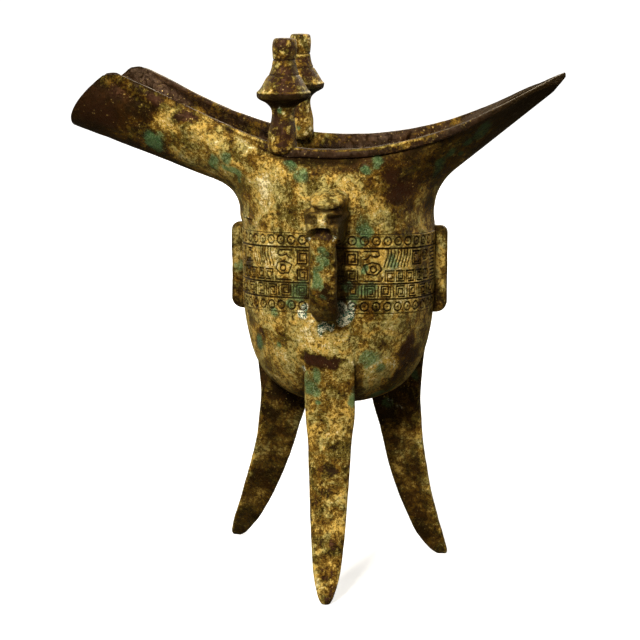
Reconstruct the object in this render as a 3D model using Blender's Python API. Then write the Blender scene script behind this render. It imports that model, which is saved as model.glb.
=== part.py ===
"""Jue wine vessel in cast bronze.

One casting: an egg-shaped cup on three blade legs, a gutter spout (-X) and a pointed tail (+X)
that flare out of the neck, a lip around the mouth, two capped posts standing on it, a beast-head
strap handle at the front (-Y), three ribs and a band of relief around the belly.
Lengths are in metres and angles in degrees. The feet stand on z = 0.
"""
import math

import bmesh
import bpy
import numpy as np
from mathutils import Vector

OBJECT_NAME = "jue_vessel"

# Relief band around the belly: height of its lowest line beside the ribs, and the rows above it
BAND_BOTTOM = 0.0977
LOWER_RING_ROW = 0.0053
SPIRAL_ROW = 0.0052
MASK_ROW = 0.0123
MASK_LOWER_TIER = 0.0055
UPPER_RING_ROW = 0.0051
BAND_LOWER_LINE = BAND_BOTTOM + LOWER_RING_ROW
BAND_MIDDLE_LINE = BAND_LOWER_LINE + SPIRAL_ROW
MASK_SPLIT = BAND_MIDDLE_LINE + MASK_LOWER_TIER
BAND_UPPER_LINE = BAND_MIDDLE_LINE + MASK_ROW
BAND_TOP = BAND_UPPER_LINE + UPPER_RING_ROW
# How much higher the lines run between the ribs
BAND_BOW = 0.0024
BORDER_WIDTH = 0.0011
BORDER_PROUD = 0.0006
STROKE_WIDTH = 0.0009
STROKE_PROUD = 0.0006
STROKE_SUNK = 0.0007
RINGS_AROUND = 50
RING_RADIUS = 0.0016
SPIRALS_AROUND = 36
SPIRAL_SIZE = 0.0040
MASK_EYE_ANGLE = 27.0
MASK_EYE_RADIUS = 0.0023

# Cup: it is widest at the shoulder, a little above the band's lowest line
CUP_RADIUS = 0.0343
CUP_BOTTOM = 0.0634
SHOULDER_RISE = 0.0143
CUP_SHOULDER = BAND_BOTTOM + SHOULDER_RISE
EGG_HEIGHT_POWER = 2.8
EGG_RADIUS_POWER = 3.0
NECK_WIDER = 0.0003
NECK_RADIUS = CUP_RADIUS + NECK_WIDER
NECK_SHIFT = 0.0008
NECK_RISE = 0.0049
NECK_HEIGHT = BAND_TOP + NECK_RISE
WALL = 0.0026
# How far the blanks of the fittings are let into the wall, as a share of it
ROOT_IN_WALL = 0.6
# Angle on the egg of the last row below the belly, from its bottom point
EGG_LAST_ANGLE = 76.0
EGG_STEPS = 6

# Mouth seen from above and from the side: place along X, half width, height of the rim above the neck
MOUTH = (
    (-0.0800, 0.0212, 0.0493),
    (-0.0755, 0.0220, 0.0498),
    (-0.0680, 0.0212, 0.0470),
    (-0.0540, 0.0190, 0.0403),
    (-0.0400, 0.0203, 0.0341),
    (-0.0270, 0.0255, 0.0294),
    (-0.0140, 0.0300, 0.0265),
    (0.0000, 0.0312, 0.0257),
    (0.0160, 0.0310, 0.0268),
    (0.0300, 0.0292, 0.0297),
    (0.0440, 0.0250, 0.0341),
    (0.0560, 0.0178, 0.0393),
    (0.0670, 0.0100, 0.0448),
    (0.0750, 0.0042, 0.0488),
    (0.0790, 0.0004, 0.0507),
)
RIM = tuple((x, half_width, NECK_HEIGHT + rise) for x, half_width, rise in MOUTH)
LIP_HEIGHT = 0.0034
LIP_PROUD = 0.0013
LIP_UNDERCUT = 0.0002
KEEL_DEPTH = 0.0028
LIP_FADE_SPOUT = 0.0300
LIP_FADE_TAIL = 0.0500
# Share of the lip left at the spout's end and at the tail's tip
LIP_AT_SPOUT = 0.12
LIP_AT_TAIL = 0.52
# Least inner width of the tail, as a share of the outer one
NARROWEST = 0.25
# How far the hollow is carried on: out of the spout, above the rim, and up
HOLLOW_OUT = 0.010
HOLLOW_OVER = 0.001
HOLLOW_UP = 0.030

# Spout and tail: the lowest point of the spout's open end, and where the walls bend out above the neck
SPOUT_END_X = -0.0950
SPOUT_END_RISE = 0.0303
SPOUT_END_Z = NECK_HEIGHT + SPOUT_END_RISE
SPOUT_START_ANGLE = 142.0
SPOUT_END_LEAN = 1.65
SPOUT_SLOPE = (0.94, 0.0, -0.33)
SPOUT_WAIST = 0.10
SPOUT_WAIST_START = -0.0300
TIP_ANGLE = 12.0
BEND_RISE_SPOUT = 0.0083
BEND_RISE_SIDE = 0.0185
BEND_RISE_TAIL = 0.0100
BEND_REACH_SIDE = 0.0040
BEND_REACH_SPOUT = 0.0110
BEND_REACH_TAIL = 0.0100

# Ribs standing on the band
RIB_ANGLES = (0.0, 90.0, 180.0)
RIB_DEPTH = 0.0045
RIB_REACH = CUP_RADIUS + RIB_DEPTH
RIB_THICKNESS = 0.0032
RIB_BELOW_BAND = 0.0022
RIB_ABOVE_BAND = 0.0012
RIB_BOTTOM = BAND_BOTTOM - RIB_BELOW_BAND
RIB_TOP = BAND_TOP + RIB_ABOVE_BAND
RIB_CORNER_TOP = 0.0028
RIB_CORNER_BOTTOM = 0.0040

# Legs: name, direction at the cup, direction at the foot, reach of the foot
LEGS = (
    ("leg_front", -89.4, -88.7, 0.0465),
    ("leg_back_right", 30.0, 26.5, 0.0435),
    ("leg_back_left", 155.0, 143.5, 0.0561),
)
LEG_ROOT_INSET = 0.0038
LEG_ROOT_REACH = CUP_RADIUS - LEG_ROOT_INSET
LEG_SWEEP_POWER = 1.75
LEG_SWEEP_TOP = 0.0640
# Height, width of the outer face, depth of the blade behind it
LEG_SECTIONS = (
    (0.0840, 0.0176, 0.0120),
    (0.0660, 0.0176, 0.0178),
    (0.0500, 0.0154, 0.0148),
    (0.0350, 0.0136, 0.0134),
    (0.0180, 0.0112, 0.0112),
    (0.0080, 0.0086, 0.0090),
    (0.0020, 0.0052, 0.0060),
    (0.0000, 0.0036, 0.0046),
)

# Posts on the rim
# Place along X and Y, height above the rim, lean towards the tail, girth
POSTS = (
    (-0.0163, -0.0270, 0.0357, 0.0010, 1.05),
    (-0.0176, 0.0265, 0.0349, 0.0000, 1.00),
)
# Height above the rim, radius
POST_PROFILE = (
    (-0.0060, 0.0034),
    (-0.0015, 0.0066),
    (0.0012, 0.0056),
    (0.0035, 0.0046),
    (0.0120, 0.0046),
    (0.0148, 0.0080),
    (0.0160, 0.0086),
    (0.0174, 0.0085),
    (0.0208, 0.0063),
    (0.0242, 0.0044),
    (0.0272, 0.0037),
    (0.0330, 0.0039),
    (0.0350, 0.0035),
)

# Handle: the strap's outer face, and the beast head that stands on it
HANDLE_DEPTH = 0.0125
HANDLE_REACH = CUP_RADIUS + HANDLE_DEPTH
HANDLE_ABOVE_NECK = 0.0095
HANDLE_TOP = NECK_HEIGHT + HANDLE_ABOVE_NECK
HANDLE_ABOVE_BAND_BOTTOM = 0.0023
HANDLE_BOTTOM = BAND_BOTTOM + HANDLE_ABOVE_BAND_BOTTOM
STRAP_WIDTH = 0.0104
STRAP_THICKNESS = 0.0038
STRAP_DROP = 0.0005
HEAD_WIDTH = 0.0122
HEAD_HEIGHT = 0.0123
HEAD_ABOVE_BAND = 0.0006
HEAD_BOTTOM = BAND_TOP + HEAD_ABOVE_BAND
HEAD_TOP = HEAD_BOTTOM + HEAD_HEIGHT
HEAD_PROUD = 0.0032
HEAD_REACH = HANDLE_REACH + HEAD_PROUD
EYE_RADIUS = 0.0019
EYE_SPREAD = 0.0040

# Fineness
HALF_COLUMNS = 17
CORNER_ANGLE = 4.0
BEND_STEPS = 3
RUN_STEPS = 3
POST_SIDES = 10
BOSS_SIDES = 5


def smoothstep(value):
    """0 below 0, 1 above 1, and a soft step between."""
    value = np.clip(value, 0.0, 1.0)
    return value * value * (3.0 - 2.0 * value)


def through(stations, column, x):
    """A smooth curve through one column of the stations, read at x."""
    table = np.array(stations)
    knots = table[:, 0]
    values = table[:, column]
    slopes = np.gradient(values, knots)
    x = np.clip(x, knots[0], knots[-1])
    span = np.clip(np.searchsorted(knots, x) - 1, 0, len(knots) - 2)
    width = knots[span + 1] - knots[span]
    t = (x - knots[span]) / width
    rise = values[span + 1] - values[span]
    first = slopes[span] * width
    last = slopes[span + 1] * width
    return values[span] + t * (first + t * (3 * rise - 2 * first - last + t * (first + last - 2 * rise)))


def cup_radius(height, angle):
    """Outer radius of the cup at a height; the neck leans a little towards the spout."""
    depth = np.clip((CUP_SHOULDER - height) / (CUP_SHOULDER - CUP_BOTTOM), 0.0, 1.0)
    egg = CUP_RADIUS * (1.0 - depth ** EGG_HEIGHT_POWER) ** (1.0 / EGG_RADIUS_POWER)
    neck = smoothstep((height - BAND_TOP) / (NECK_HEIGHT - BAND_TOP))
    return egg - (CUP_RADIUS - neck_radius(angle)) * neck


def neck_radius(angle):
    """Outer radius where the neck turns into the flare."""
    return NECK_RADIUS - NECK_SHIFT * np.cos(angle)


def bowed(height, angle):
    """The band's lines run higher between the ribs than beside them."""
    fade_in = smoothstep((height - CUP_BOTTOM) / (BAND_BOTTOM - CUP_BOTTOM))
    fade_out = 1.0 - smoothstep((height - BAND_TOP) / (NECK_HEIGHT - BAND_TOP))
    return height + BAND_BOW * fade_in * fade_out * np.sin(angle) ** 2


def circle_row(height, angles, proud=0.0):
    """One round of points on the cup."""
    z = bowed(height, angles)
    radius = cup_radius(z, angles) + proud
    return np.column_stack((radius * np.cos(angles), radius * np.sin(angles), z))


def lip_share(x):
    """1 along the mouth, falling to a thin edge at both ends."""
    spout = smoothstep((x - RIM[0][0]) / LIP_FADE_SPOUT)
    tail = smoothstep((RIM[-1][0] - x) / LIP_FADE_TAIL)
    return np.minimum(LIP_AT_SPOUT + (1.0 - LIP_AT_SPOUT) * spout, LIP_AT_TAIL + (1.0 - LIP_AT_TAIL) * tail)


def rim_points(angles):
    """Where each column meets the rim: the foot of the lip, and the lip's outer top edge."""
    turn = np.abs(np.degrees(np.arctan2(np.sin(angles), np.cos(angles))))
    side = np.sign(np.round(np.sin(angles), 6))
    tail_x = RIM[-1][0] * np.cos(np.radians(turn))
    along = np.clip((turn - 90.0) / (SPOUT_START_ANGLE - 90.0), 0.0, 1.0)
    spout_x = RIM[0][0] * (0.9 * along + 0.1 * along ** 3)
    x = np.where(turn < 90.0, tail_x, spout_x)
    width = through(RIM, 1, x)
    z = through(RIM, 2, x)
    share = lip_share(x)
    low_width = np.maximum(width - LIP_PROUD * share, NARROWEST * width)
    low_x = x - 0.6 * LIP_PROUD * np.clip(np.cos(angles), 0.0, 1.0) ** 8
    keel = KEEL_DEPTH * np.clip(np.cos(angles), 0.0, 1.0) ** 16
    low = np.column_stack((low_x, side * low_width, z - LIP_HEIGHT * share - keel))
    top = np.column_stack((x, side * width, z))
    # The open end of the gutter: a U that leans back towards its top
    around = np.clip((180.0 - turn) / (180.0 - SPOUT_START_ANGLE), 0.0, 1.0) * math.pi / 2.0
    lift = 1.0 - np.cos(around)
    end_x = SPOUT_END_X + (RIM[0][0] - SPOUT_END_X) * lift ** SPOUT_END_LEAN
    end_y = side * RIM[0][1] * np.sin(around)
    end_z = SPOUT_END_Z + (RIM[0][2] - SPOUT_END_Z) * lift
    at_end = turn > SPOUT_START_ANGLE
    foot = top.copy()
    foot[:, 2] = low[:, 2] + LIP_UNDERCUT
    top[at_end] = np.column_stack((end_x, end_y, end_z))[at_end]
    low[at_end] = top[at_end] + np.array(SPOUT_SLOPE) * LIP_UNDERCUT * 2.0
    foot[at_end] = top[at_end] + np.array(SPOUT_SLOPE) * LIP_UNDERCUT
    return low, foot, top


def waist(x):
    """How much narrower the gutter is at x than a straight one."""
    share = np.clip((x - SPOUT_WAIST_START) / (RIM[0][0] - SPOUT_WAIST_START), 0.0, 1.0)
    return 1.0 - SPOUT_WAIST * 4.0 * share * (1.0 - share)


def flare_rows(angles):
    """Rows from the neck to the foot of the lip: an arc outwards, then nearly straight."""
    low, foot, top = rim_points(angles)
    outward = np.cos(angles)
    tailwards = np.clip(outward, 0.0, 1.0) ** 1.5
    spoutwards = np.clip(-outward, 0.0, 1.0) ** 1.5
    bend_rise = (
        BEND_RISE_SIDE
        + (BEND_RISE_TAIL - BEND_RISE_SIDE) * tailwards
        + (BEND_RISE_SPOUT - BEND_RISE_SIDE) * spoutwards
    )
    radius = neck_radius(angles)
    corner = np.column_stack((radius * outward, radius * np.sin(angles), NECK_HEIGHT + bend_rise))
    run = low - corner
    length = np.linalg.norm(run, axis=1)
    wanted = BEND_REACH_SIDE + BEND_REACH_TAIL * tailwards + BEND_REACH_SPOUT * spoutwards
    reach = np.minimum(np.minimum(wanted, 0.8 * length), bend_rise)
    start = corner - reach[:, None] * np.array((0.0, 0.0, 1.0))
    end = corner + run * (reach / length)[:, None]
    rows = []
    for step in range(1, BEND_STEPS + 1):
        t = step / BEND_STEPS
        rows.append(start * (1 - t) ** 2 + 2 * corner * t * (1 - t) + end * t * t)
    for step in range(1, RUN_STEPS):
        t = step / RUN_STEPS
        row = end + (low - end) * t
        straight = waist(end[:, 0]) * (1.0 - t) + waist(low[:, 0]) * t
        row[:, 1] *= waist(row[:, 0]) / straight
        rows.append(row)
    rows.append(low)
    return rows, foot, top


def column_angles():
    """The directions of the columns, from the tail round to the spout and back, closest at its corners."""
    half = list(np.linspace(0.0, 180.0, HALF_COLUMNS + 1))
    half += [SPOUT_START_ANGLE - CORNER_ANGLE, SPOUT_START_ANGLE, SPOUT_START_ANGLE + CORNER_ANGLE]
    half = np.unique(np.round(half, 3))
    return np.radians(np.concatenate((half, -half[-2:0:-1])))


def smooth_skin(angles):
    """The outer surface without ridges or lip, from the bottom up."""
    shares = np.sin(np.linspace(0.0, 1.0, EGG_STEPS + 1)[1:] * math.radians(EGG_LAST_ANGLE))
    depth = (1.0 - shares ** EGG_RADIUS_POWER) ** (1.0 / EGG_HEIGHT_POWER)
    heights = list(CUP_SHOULDER - depth * (CUP_SHOULDER - CUP_BOTTOM))
    heights += [BAND_BOTTOM, CUP_SHOULDER, BAND_TOP, NECK_HEIGHT]
    rows = [circle_row(height, angles) for height in heights]
    upper, foot, top = flare_rows(angles)
    return rows + upper, foot, top


def loft(name, rows, bottom, closing_top):
    """A closed mesh through the rows, with a point below and a ruled lid across the mouth."""
    mesh_rows = rows + [closing_top]
    count = len(closing_top)
    points = [tuple(bottom)]
    for row in mesh_rows:
        points += [tuple(point) for point in row]
    faces = []
    for j in range(count):
        faces.append((0, 1 + (j + 1) % count, 1 + j))
    for i in range(len(mesh_rows) - 1):
        base = 1 + i * count
        for j in range(count):
            after = (j + 1) % count
            faces.append((base + j, base + after, base + count + after, base + count + j))
    base = 1 + (len(mesh_rows) - 1) * count
    half = count // 2
    for j in range(half):
        corners = [base + j, base + j + 1, base + count - j - 1, base + (count - j) % count]
        faces.append(tuple(dict.fromkeys(corners)))
    return solid(name, points, faces)


def solid(name, points, faces):
    """A mesh object from points and faces, with its faces turned outwards."""
    mesh = bpy.data.meshes.new(name)
    mesh.from_pydata([tuple(map(float, point)) for point in points], [], faces)
    bm = bmesh.new()
    bm.from_mesh(mesh)
    bmesh.ops.recalc_face_normals(bm, faces=bm.faces)
    if bm.calc_volume(signed=True) < 0.0:
        bmesh.ops.reverse_faces(bm, faces=bm.faces)
    bm.to_mesh(mesh)
    bm.free()
    return bpy.data.objects.new(name, mesh)


def make_outside():
    """The vessel filled to the brim, with the ridges that border the band."""
    angles = column_angles()
    rows, foot, top = smooth_skin(angles)
    heights = [row[0][2] for row in rows]
    below = [row for row, height in zip(rows, heights) if height < BAND_BOTTOM - BORDER_WIDTH]
    above = rows[-(BEND_STEPS + RUN_STEPS + 1):]
    ridges = []
    for line in (BAND_BOTTOM, BAND_LOWER_LINE, BAND_MIDDLE_LINE, BAND_UPPER_LINE, BAND_TOP):
        ridges.append(circle_row(line - BORDER_WIDTH, angles))
        ridges.append(circle_row(line, angles, BORDER_PROUD))
        ridges.append(circle_row(line + BORDER_WIDTH, angles))
    return loft("outside", below + ridges + above + [foot], (0.0, 0.0, CUP_BOTTOM), top)


def make_hollow():
    """The space inside the walls, carried on past the mouth."""
    angles = column_angles()
    rows = smooth_skin(angles)[0]
    grid = np.array(rows)
    around = np.roll(grid, -1, axis=1) - np.roll(grid, 1, axis=1)
    along = np.gradient(grid, axis=0)
    normal = np.cross(around, along)
    normal /= np.linalg.norm(normal, axis=2, keepdims=True)
    # Towards the tip of the tail every column moves in the same way, so that none crosses another
    turn = np.abs(np.degrees(np.arctan2(np.sin(angles), np.cos(angles))))
    own = smoothstep((turn - TIP_ANGLE) / TIP_ANGLE)[None, :, None]
    upper = (grid[:, :1, 2] > NECK_HEIGHT)[:, :, None]
    normal = np.where(upper, normal * own + normal[:, :1] * (1.0 - own), normal)
    normal /= np.linalg.norm(normal, axis=2, keepdims=True)
    inner = grid - WALL * normal
    narrowest = NARROWEST * np.abs(grid[:, :, 1])
    inner[:, :, 1] = np.sign(grid[:, :, 1]) * np.maximum(np.abs(inner[:, :, 1]), narrowest)
    inner[:, np.abs(np.sin(angles)) < 1e-6, 1] = 0.0
    # Out through the open end of the gutter, and straight up everywhere else
    at_end = smoothstep((turn - SPOUT_START_ANGLE + CORNER_ANGLE) / (2.0 * CORNER_ANGLE))[:, None]
    out = np.array(SPOUT_SLOPE) * -HOLLOW_OUT
    over = np.array((0.0, 0.0, HOLLOW_OVER))
    beyond = inner[-1] + out * at_end + over * (1.0 - at_end)
    above = beyond + np.array((0.0, 0.0, HOLLOW_UP))
    return loft("hollow", list(inner) + [beyond], (0.0, 0.0, CUP_BOTTOM + WALL), above)


def make_leg(name, root_angle, foot_angle, foot_reach):
    """A curved blade: a broad outer face and a ridge towards the axis."""
    rings = []
    for height, width, depth in LEG_SECTIONS:
        share = max(1.0 - height / LEG_SWEEP_TOP, 0.0) ** LEG_SWEEP_POWER
        reach = LEG_ROOT_REACH + (foot_reach - LEG_ROOT_REACH) * share
        angle = math.radians(root_angle + (foot_angle - root_angle) * share)
        out = Vector((math.cos(angle), math.sin(angle), 0.0))
        side = Vector((-math.sin(angle), math.cos(angle), 0.0))
        outline = (
            (0.0, -0.36),
            (-0.14, -0.5),
            (-0.86, -0.09),
            (-1.0, 0.0),
            (-0.86, 0.09),
            (-0.14, 0.5),
            (0.0, 0.36),
        )
        centre = out * reach + Vector((0.0, 0.0, height))
        rings.append([centre + out * (back * depth) + side * (across * width) for back, across in outline])
    return ring_solid(name, rings)


def ring_solid(name, rings):
    """A closed mesh through rings of equally many points, with flat ends."""
    count = len(rings[0])
    points = [tuple(point) for ring in rings for point in ring]
    faces = [tuple(range(count))]
    for i in range(len(rings) - 1):
        base = i * count
        for j in range(count):
            after = (j + 1) % count
            faces.append((base + j, base + after, base + count + after, base + count + j))
    last = (len(rings) - 1) * count
    faces.append(tuple(reversed(range(last, last + count))))
    return solid(name, points, faces)


def make_rib(angle):
    """A plain upright rib with rounded corners."""
    inside = CUP_RADIUS - WALL * ROOT_IN_WALL
    outline = [(inside, RIB_BOTTOM), (inside, RIB_TOP)]
    corners = (
        (RIB_TOP - RIB_CORNER_TOP, RIB_CORNER_TOP, 90.0),
        (RIB_BOTTOM + RIB_CORNER_BOTTOM, RIB_CORNER_BOTTOM, 0.0),
    )
    for centre_z, corner, start in corners:
        for step in range(3):
            turn = math.radians(start - 45.0 * step)
            outline.append((RIB_REACH - corner + corner * math.cos(turn), centre_z + corner * math.sin(turn)))
    out = Vector((math.cos(angle), math.sin(angle), 0.0))
    side = Vector((-math.sin(angle), math.cos(angle), 0.0))
    rings = []
    for offset in (-0.5, 0.5):
        rings.append([out * reach + side * (offset * RIB_THICKNESS) + Vector((0.0, 0.0, z))
                      for reach, z in outline])
    return ring_solid("rib", rings)


def make_post(x, y, height, lean, girth):
    """A round post with a waisted, bell-shaped cap, standing on the rim."""
    base = float(through(RIM, 2, np.array(x)))
    stretch = height / POST_PROFILE[-1][0]
    rings = []
    for level, radius in POST_PROFILE:
        z = base + level * (stretch if level > 0.0 else 1.0)
        centre = x + lean * max(level, 0.0) / POST_PROFILE[-1][0]
        ring = []
        for j in range(POST_SIDES):
            turn = 2.0 * math.pi * j / POST_SIDES
            ring.append((centre + girth * radius * math.cos(turn), y + girth * radius * math.sin(turn), z))
        rings.append(ring)
    return ring_solid("post", rings)


def handle_path():
    """The strap's middle line, from the wall above the band round to the wall below it."""
    reach = HANDLE_REACH - STRAP_THICKNESS / 2.0
    root = NECK_RADIUS - WALL * ROOT_IN_WALL
    drop = reach - CUP_RADIUS
    points = [(root, HANDLE_TOP)]
    for step in range(5):
        turn = math.radians(90.0 - 22.5 * step)
        points.append((reach - 0.7 * drop + 0.7 * drop * math.cos(turn),
                       HANDLE_TOP - drop + drop * math.sin(turn) - STRAP_DROP))
    for step in range(5):
        turn = math.radians(-22.5 * step)
        points.append((reach - drop + drop * math.cos(turn),
                       HANDLE_BOTTOM + drop + drop * math.sin(turn)))
    points.append((CUP_RADIUS - WALL * ROOT_IN_WALL, HANDLE_BOTTOM))
    return points


def make_strap():
    """The handle's strap, with rounded edges."""
    path = [Vector((0.0, -reach, z)) for reach, z in handle_path()]
    rings = []
    for i, point in enumerate(path):
        before = path[max(i - 1, 0)]
        after = path[min(i + 1, len(path) - 1)]
        forward = (after - before).normalized()
        across = Vector((1.0, 0.0, 0.0))
        up = across.cross(forward)
        ring = []
        for x, y in ((-0.5, -0.2), (-0.36, -0.5), (0.36, -0.5), (0.5, -0.2),
                     (0.5, 0.3), (0.36, 0.5), (-0.36, 0.5), (-0.5, 0.3)):
            ring.append(point + across * (x * STRAP_WIDTH) + up * (y * STRAP_THICKNESS))
        rings.append(ring)
    return ring_solid("strap", rings)


def make_head():
    """The beast head that the strap comes out of: brow, cheeks and a lip over the strap."""
    middle = (HEAD_TOP + HEAD_BOTTOM) / 2.0
    height = HEAD_TOP - HEAD_BOTTOM
    root = CUP_RADIUS - WALL * ROOT_IN_WALL
    rings = []
    for share, back, width in ((0.5, 0.0085, 0.78), (0.42, 0.0048, 0.92), (0.2, 0.0018, 1.0),
                               (-0.1, 0.0010, 0.98), (-0.34, 0.0, 0.86), (-0.5, 0.0006, 0.80)):
        reach = HEAD_REACH - back
        ring = []
        for x, y in ((-0.5, 0.0), (-0.5, 0.62), (-0.36, 0.94), (-0.14, 1.0),
                     (0.14, 1.0), (0.36, 0.94), (0.5, 0.62), (0.5, 0.0)):
            ring.append(Vector((x * width * HEAD_WIDTH, -(root + (reach - root) * y),
                                middle + share * height)))
        rings.append(ring)
    return ring_solid("head", rings)


def make_eye(side):
    """One round eye on the beast head."""
    bm = bmesh.new()
    bmesh.ops.create_icosphere(bm, subdivisions=1, radius=EYE_RADIUS)
    height = HEAD_BOTTOM + 0.63 * (HEAD_TOP - HEAD_BOTTOM)
    bmesh.ops.translate(bm, vec=(side * EYE_SPREAD, EYE_RADIUS * 1.15 - HEAD_REACH, height), verts=bm.verts)
    mesh = bpy.data.meshes.new("eye")
    bm.to_mesh(mesh)
    bm.free()
    return bpy.data.objects.new("eye", mesh)


def band_point(across, height, proud):
    """A point on the band: metres round from the tail, height beside the ribs, lift off the wall."""
    angle = across / CUP_RADIUS
    z = height + BAND_BOW * math.sin(angle) ** 2
    radius = float(cup_radius(np.array(z), angle)) + proud
    return (radius * math.cos(angle), radius * math.sin(angle), z)


def add_stroke(points, faces, line, closed=False):
    """A raised stroke along a line of (across, height) pairs on the band."""
    line = [Vector(pair) for pair in line]
    count = len(line)
    first = len(points)
    for i, here in enumerate(line):
        before = line[i - 1] if closed or i > 0 else here
        after = line[(i + 1) % count] if closed or i < count - 1 else here
        ahead = (after - here).normalized() if after != here else (here - before).normalized()
        behind = (here - before).normalized() if before != here else ahead
        middle = (ahead + behind).normalized()
        normal = Vector((-middle.y, middle.x))
        stretch = STROKE_WIDTH / 2.0 / max(abs(middle.dot(ahead)), 0.5)
        left = here + normal * stretch
        right = here - normal * stretch
        points.append(band_point(left.x, left.y, STROKE_PROUD))
        points.append(band_point(right.x, right.y, STROKE_PROUD))
        points.append(band_point(right.x, right.y, -STROKE_SUNK))
        points.append(band_point(left.x, left.y, -STROKE_SUNK))
    spans = count if closed else count - 1
    for i in range(spans):
        a = first + 4 * i
        b = first + 4 * ((i + 1) % count)
        for k in range(4):
            m = (k + 1) % 4
            faces.append((a + k, b + k, b + m, a + m))
    if not closed:
        faces.append(tuple(first + k for k in range(4)))
        faces.append(tuple(first + 4 * (count - 1) + k for k in reversed(range(4))))


def free_of_fittings(angle, margin):
    """Whether a motif at this direction clears the ribs and the handle."""
    places = list(RIB_ANGLES) + [-90.0]
    halves = [RIB_THICKNESS / 2.0] * len(RIB_ANGLES) + [STRAP_WIDTH / 2.0]
    for place, half in zip(places, halves):
        apart = abs((angle - place + 180.0) % 360.0 - 180.0)
        if math.radians(apart) * CUP_RADIUS < half + margin:
            return False
    return True


def add_boss(points, faces, across, height, radius):
    """A raised boss on the band."""
    first = len(points)
    for proud, share in ((-STROKE_SUNK, 1.0), (STROKE_PROUD, 0.85)):
        for k in range(BOSS_SIDES):
            spin = 2.0 * math.pi * k / BOSS_SIDES
            points.append(band_point(across + share * radius * math.cos(spin),
                                     height + share * radius * math.sin(spin), proud))
    upper = first + BOSS_SIDES
    for k in range(BOSS_SIDES):
        after = (k + 1) % BOSS_SIDES
        faces.append((first + k, first + after, upper + after, upper + k))
    faces.append(tuple(first + k for k in reversed(range(BOSS_SIDES))))
    faces.append(tuple(upper + k for k in range(BOSS_SIDES)))


def add_hook(points, faces, across, height, size, turned):
    """A square hook, open on the side that it is turned to."""
    half = size / 2.0 - STROKE_WIDTH / 2.0
    line = [(-half, -half), (-half, half), (half, half), (half, -0.4 * half)]
    add_stroke(points, faces, [(across + turned * x, height + y) for x, y in line])


def make_relief():
    """Bosses in the two border rows, a row of square hooks, and a mask in the broad register."""
    points = []
    faces = []
    for row in ((BAND_BOTTOM + BAND_LOWER_LINE) / 2.0, (BAND_UPPER_LINE + BAND_TOP) / 2.0):
        for i in range(RINGS_AROUND):
            turn = 360.0 * (i + 0.5) / RINGS_AROUND
            if free_of_fittings(turn, RING_RADIUS):
                add_boss(points, faces, math.radians(turn) * CUP_RADIUS, row, RING_RADIUS)
    row = (BAND_LOWER_LINE + BAND_MIDDLE_LINE) / 2.0
    for i in range(SPIRALS_AROUND):
        turn = 360.0 * (i + 0.5) / SPIRALS_AROUND
        if free_of_fittings(turn, SPIRAL_SIZE / 2.0):
            add_hook(points, faces, math.radians(turn) * CUP_RADIUS, row, SPIRAL_SIZE, 1.0)
    add_masks(points, faces)
    return solid("relief", points, faces)


def add_masks(points, faces):
    """Half a beast mask on each side of the handle and of the back rib: eye, plumes, hooks, bars."""
    upper = (MASK_SPLIT + BAND_UPPER_LINE) / 2.0
    lower = (MASK_SPLIT + BAND_MIDDLE_LINE) / 2.0
    tall = BAND_UPPER_LINE - MASK_SPLIT - 2.0 * BORDER_WIDTH
    for centre in (-90.0, 90.0):
        for side in (-1.0, 1.0):
            def place(angle):
                return math.radians(centre + side * angle) * CUP_RADIUS
            add_boss(points, faces, place(MASK_EYE_ANGLE), MASK_SPLIT, MASK_EYE_RADIUS)
            for angle in (39.0, 48.0):
                foot = place(angle)
                line = [(foot, upper - tall / 2.0), (foot + side * 0.0010, upper),
                        (foot + side * 0.0008, upper + tall / 2.0)]
                add_stroke(points, faces, line)
            for angle in (40.0, 50.0):
                add_hook(points, faces, place(angle), lower, MASK_SPLIT - BAND_MIDDLE_LINE - 0.0014, side)
            for step in range(3):
                height = BAND_MIDDLE_LINE + (step + 1) * (BAND_UPPER_LINE - BAND_MIDDLE_LINE) / 4.0
                line = [(place(66.0), height), (place(78.0), height)]
                add_stroke(points, faces, line)


def bronze():
    """Old bronze under a brown and olive-gold crust."""
    material = bpy.data.materials.new("bronze")
    material.use_nodes = True
    shader = material.node_tree.nodes["Principled BSDF"]
    shader.inputs["Base Color"].default_value = (0.17, 0.115, 0.045, 1.0)
    shader.inputs["Roughness"].default_value = 0.62
    shader.inputs["Metallic"].default_value = 0.35
    return material


def combine(vessel, tool, operation, solver="EXACT"):
    """A Boolean modifier on the vessel with another solid."""
    modifier = vessel.modifiers.new(f"{operation.lower()}_{tool.name}", "BOOLEAN")
    modifier.operation = operation
    modifier.solver = solver
    modifier.object = tool
    return modifier


def new_collection(name):
    """A collection linked to the scene."""
    collection = bpy.data.collections.new(name)
    bpy.context.scene.collection.children.link(collection)
    return collection


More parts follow.
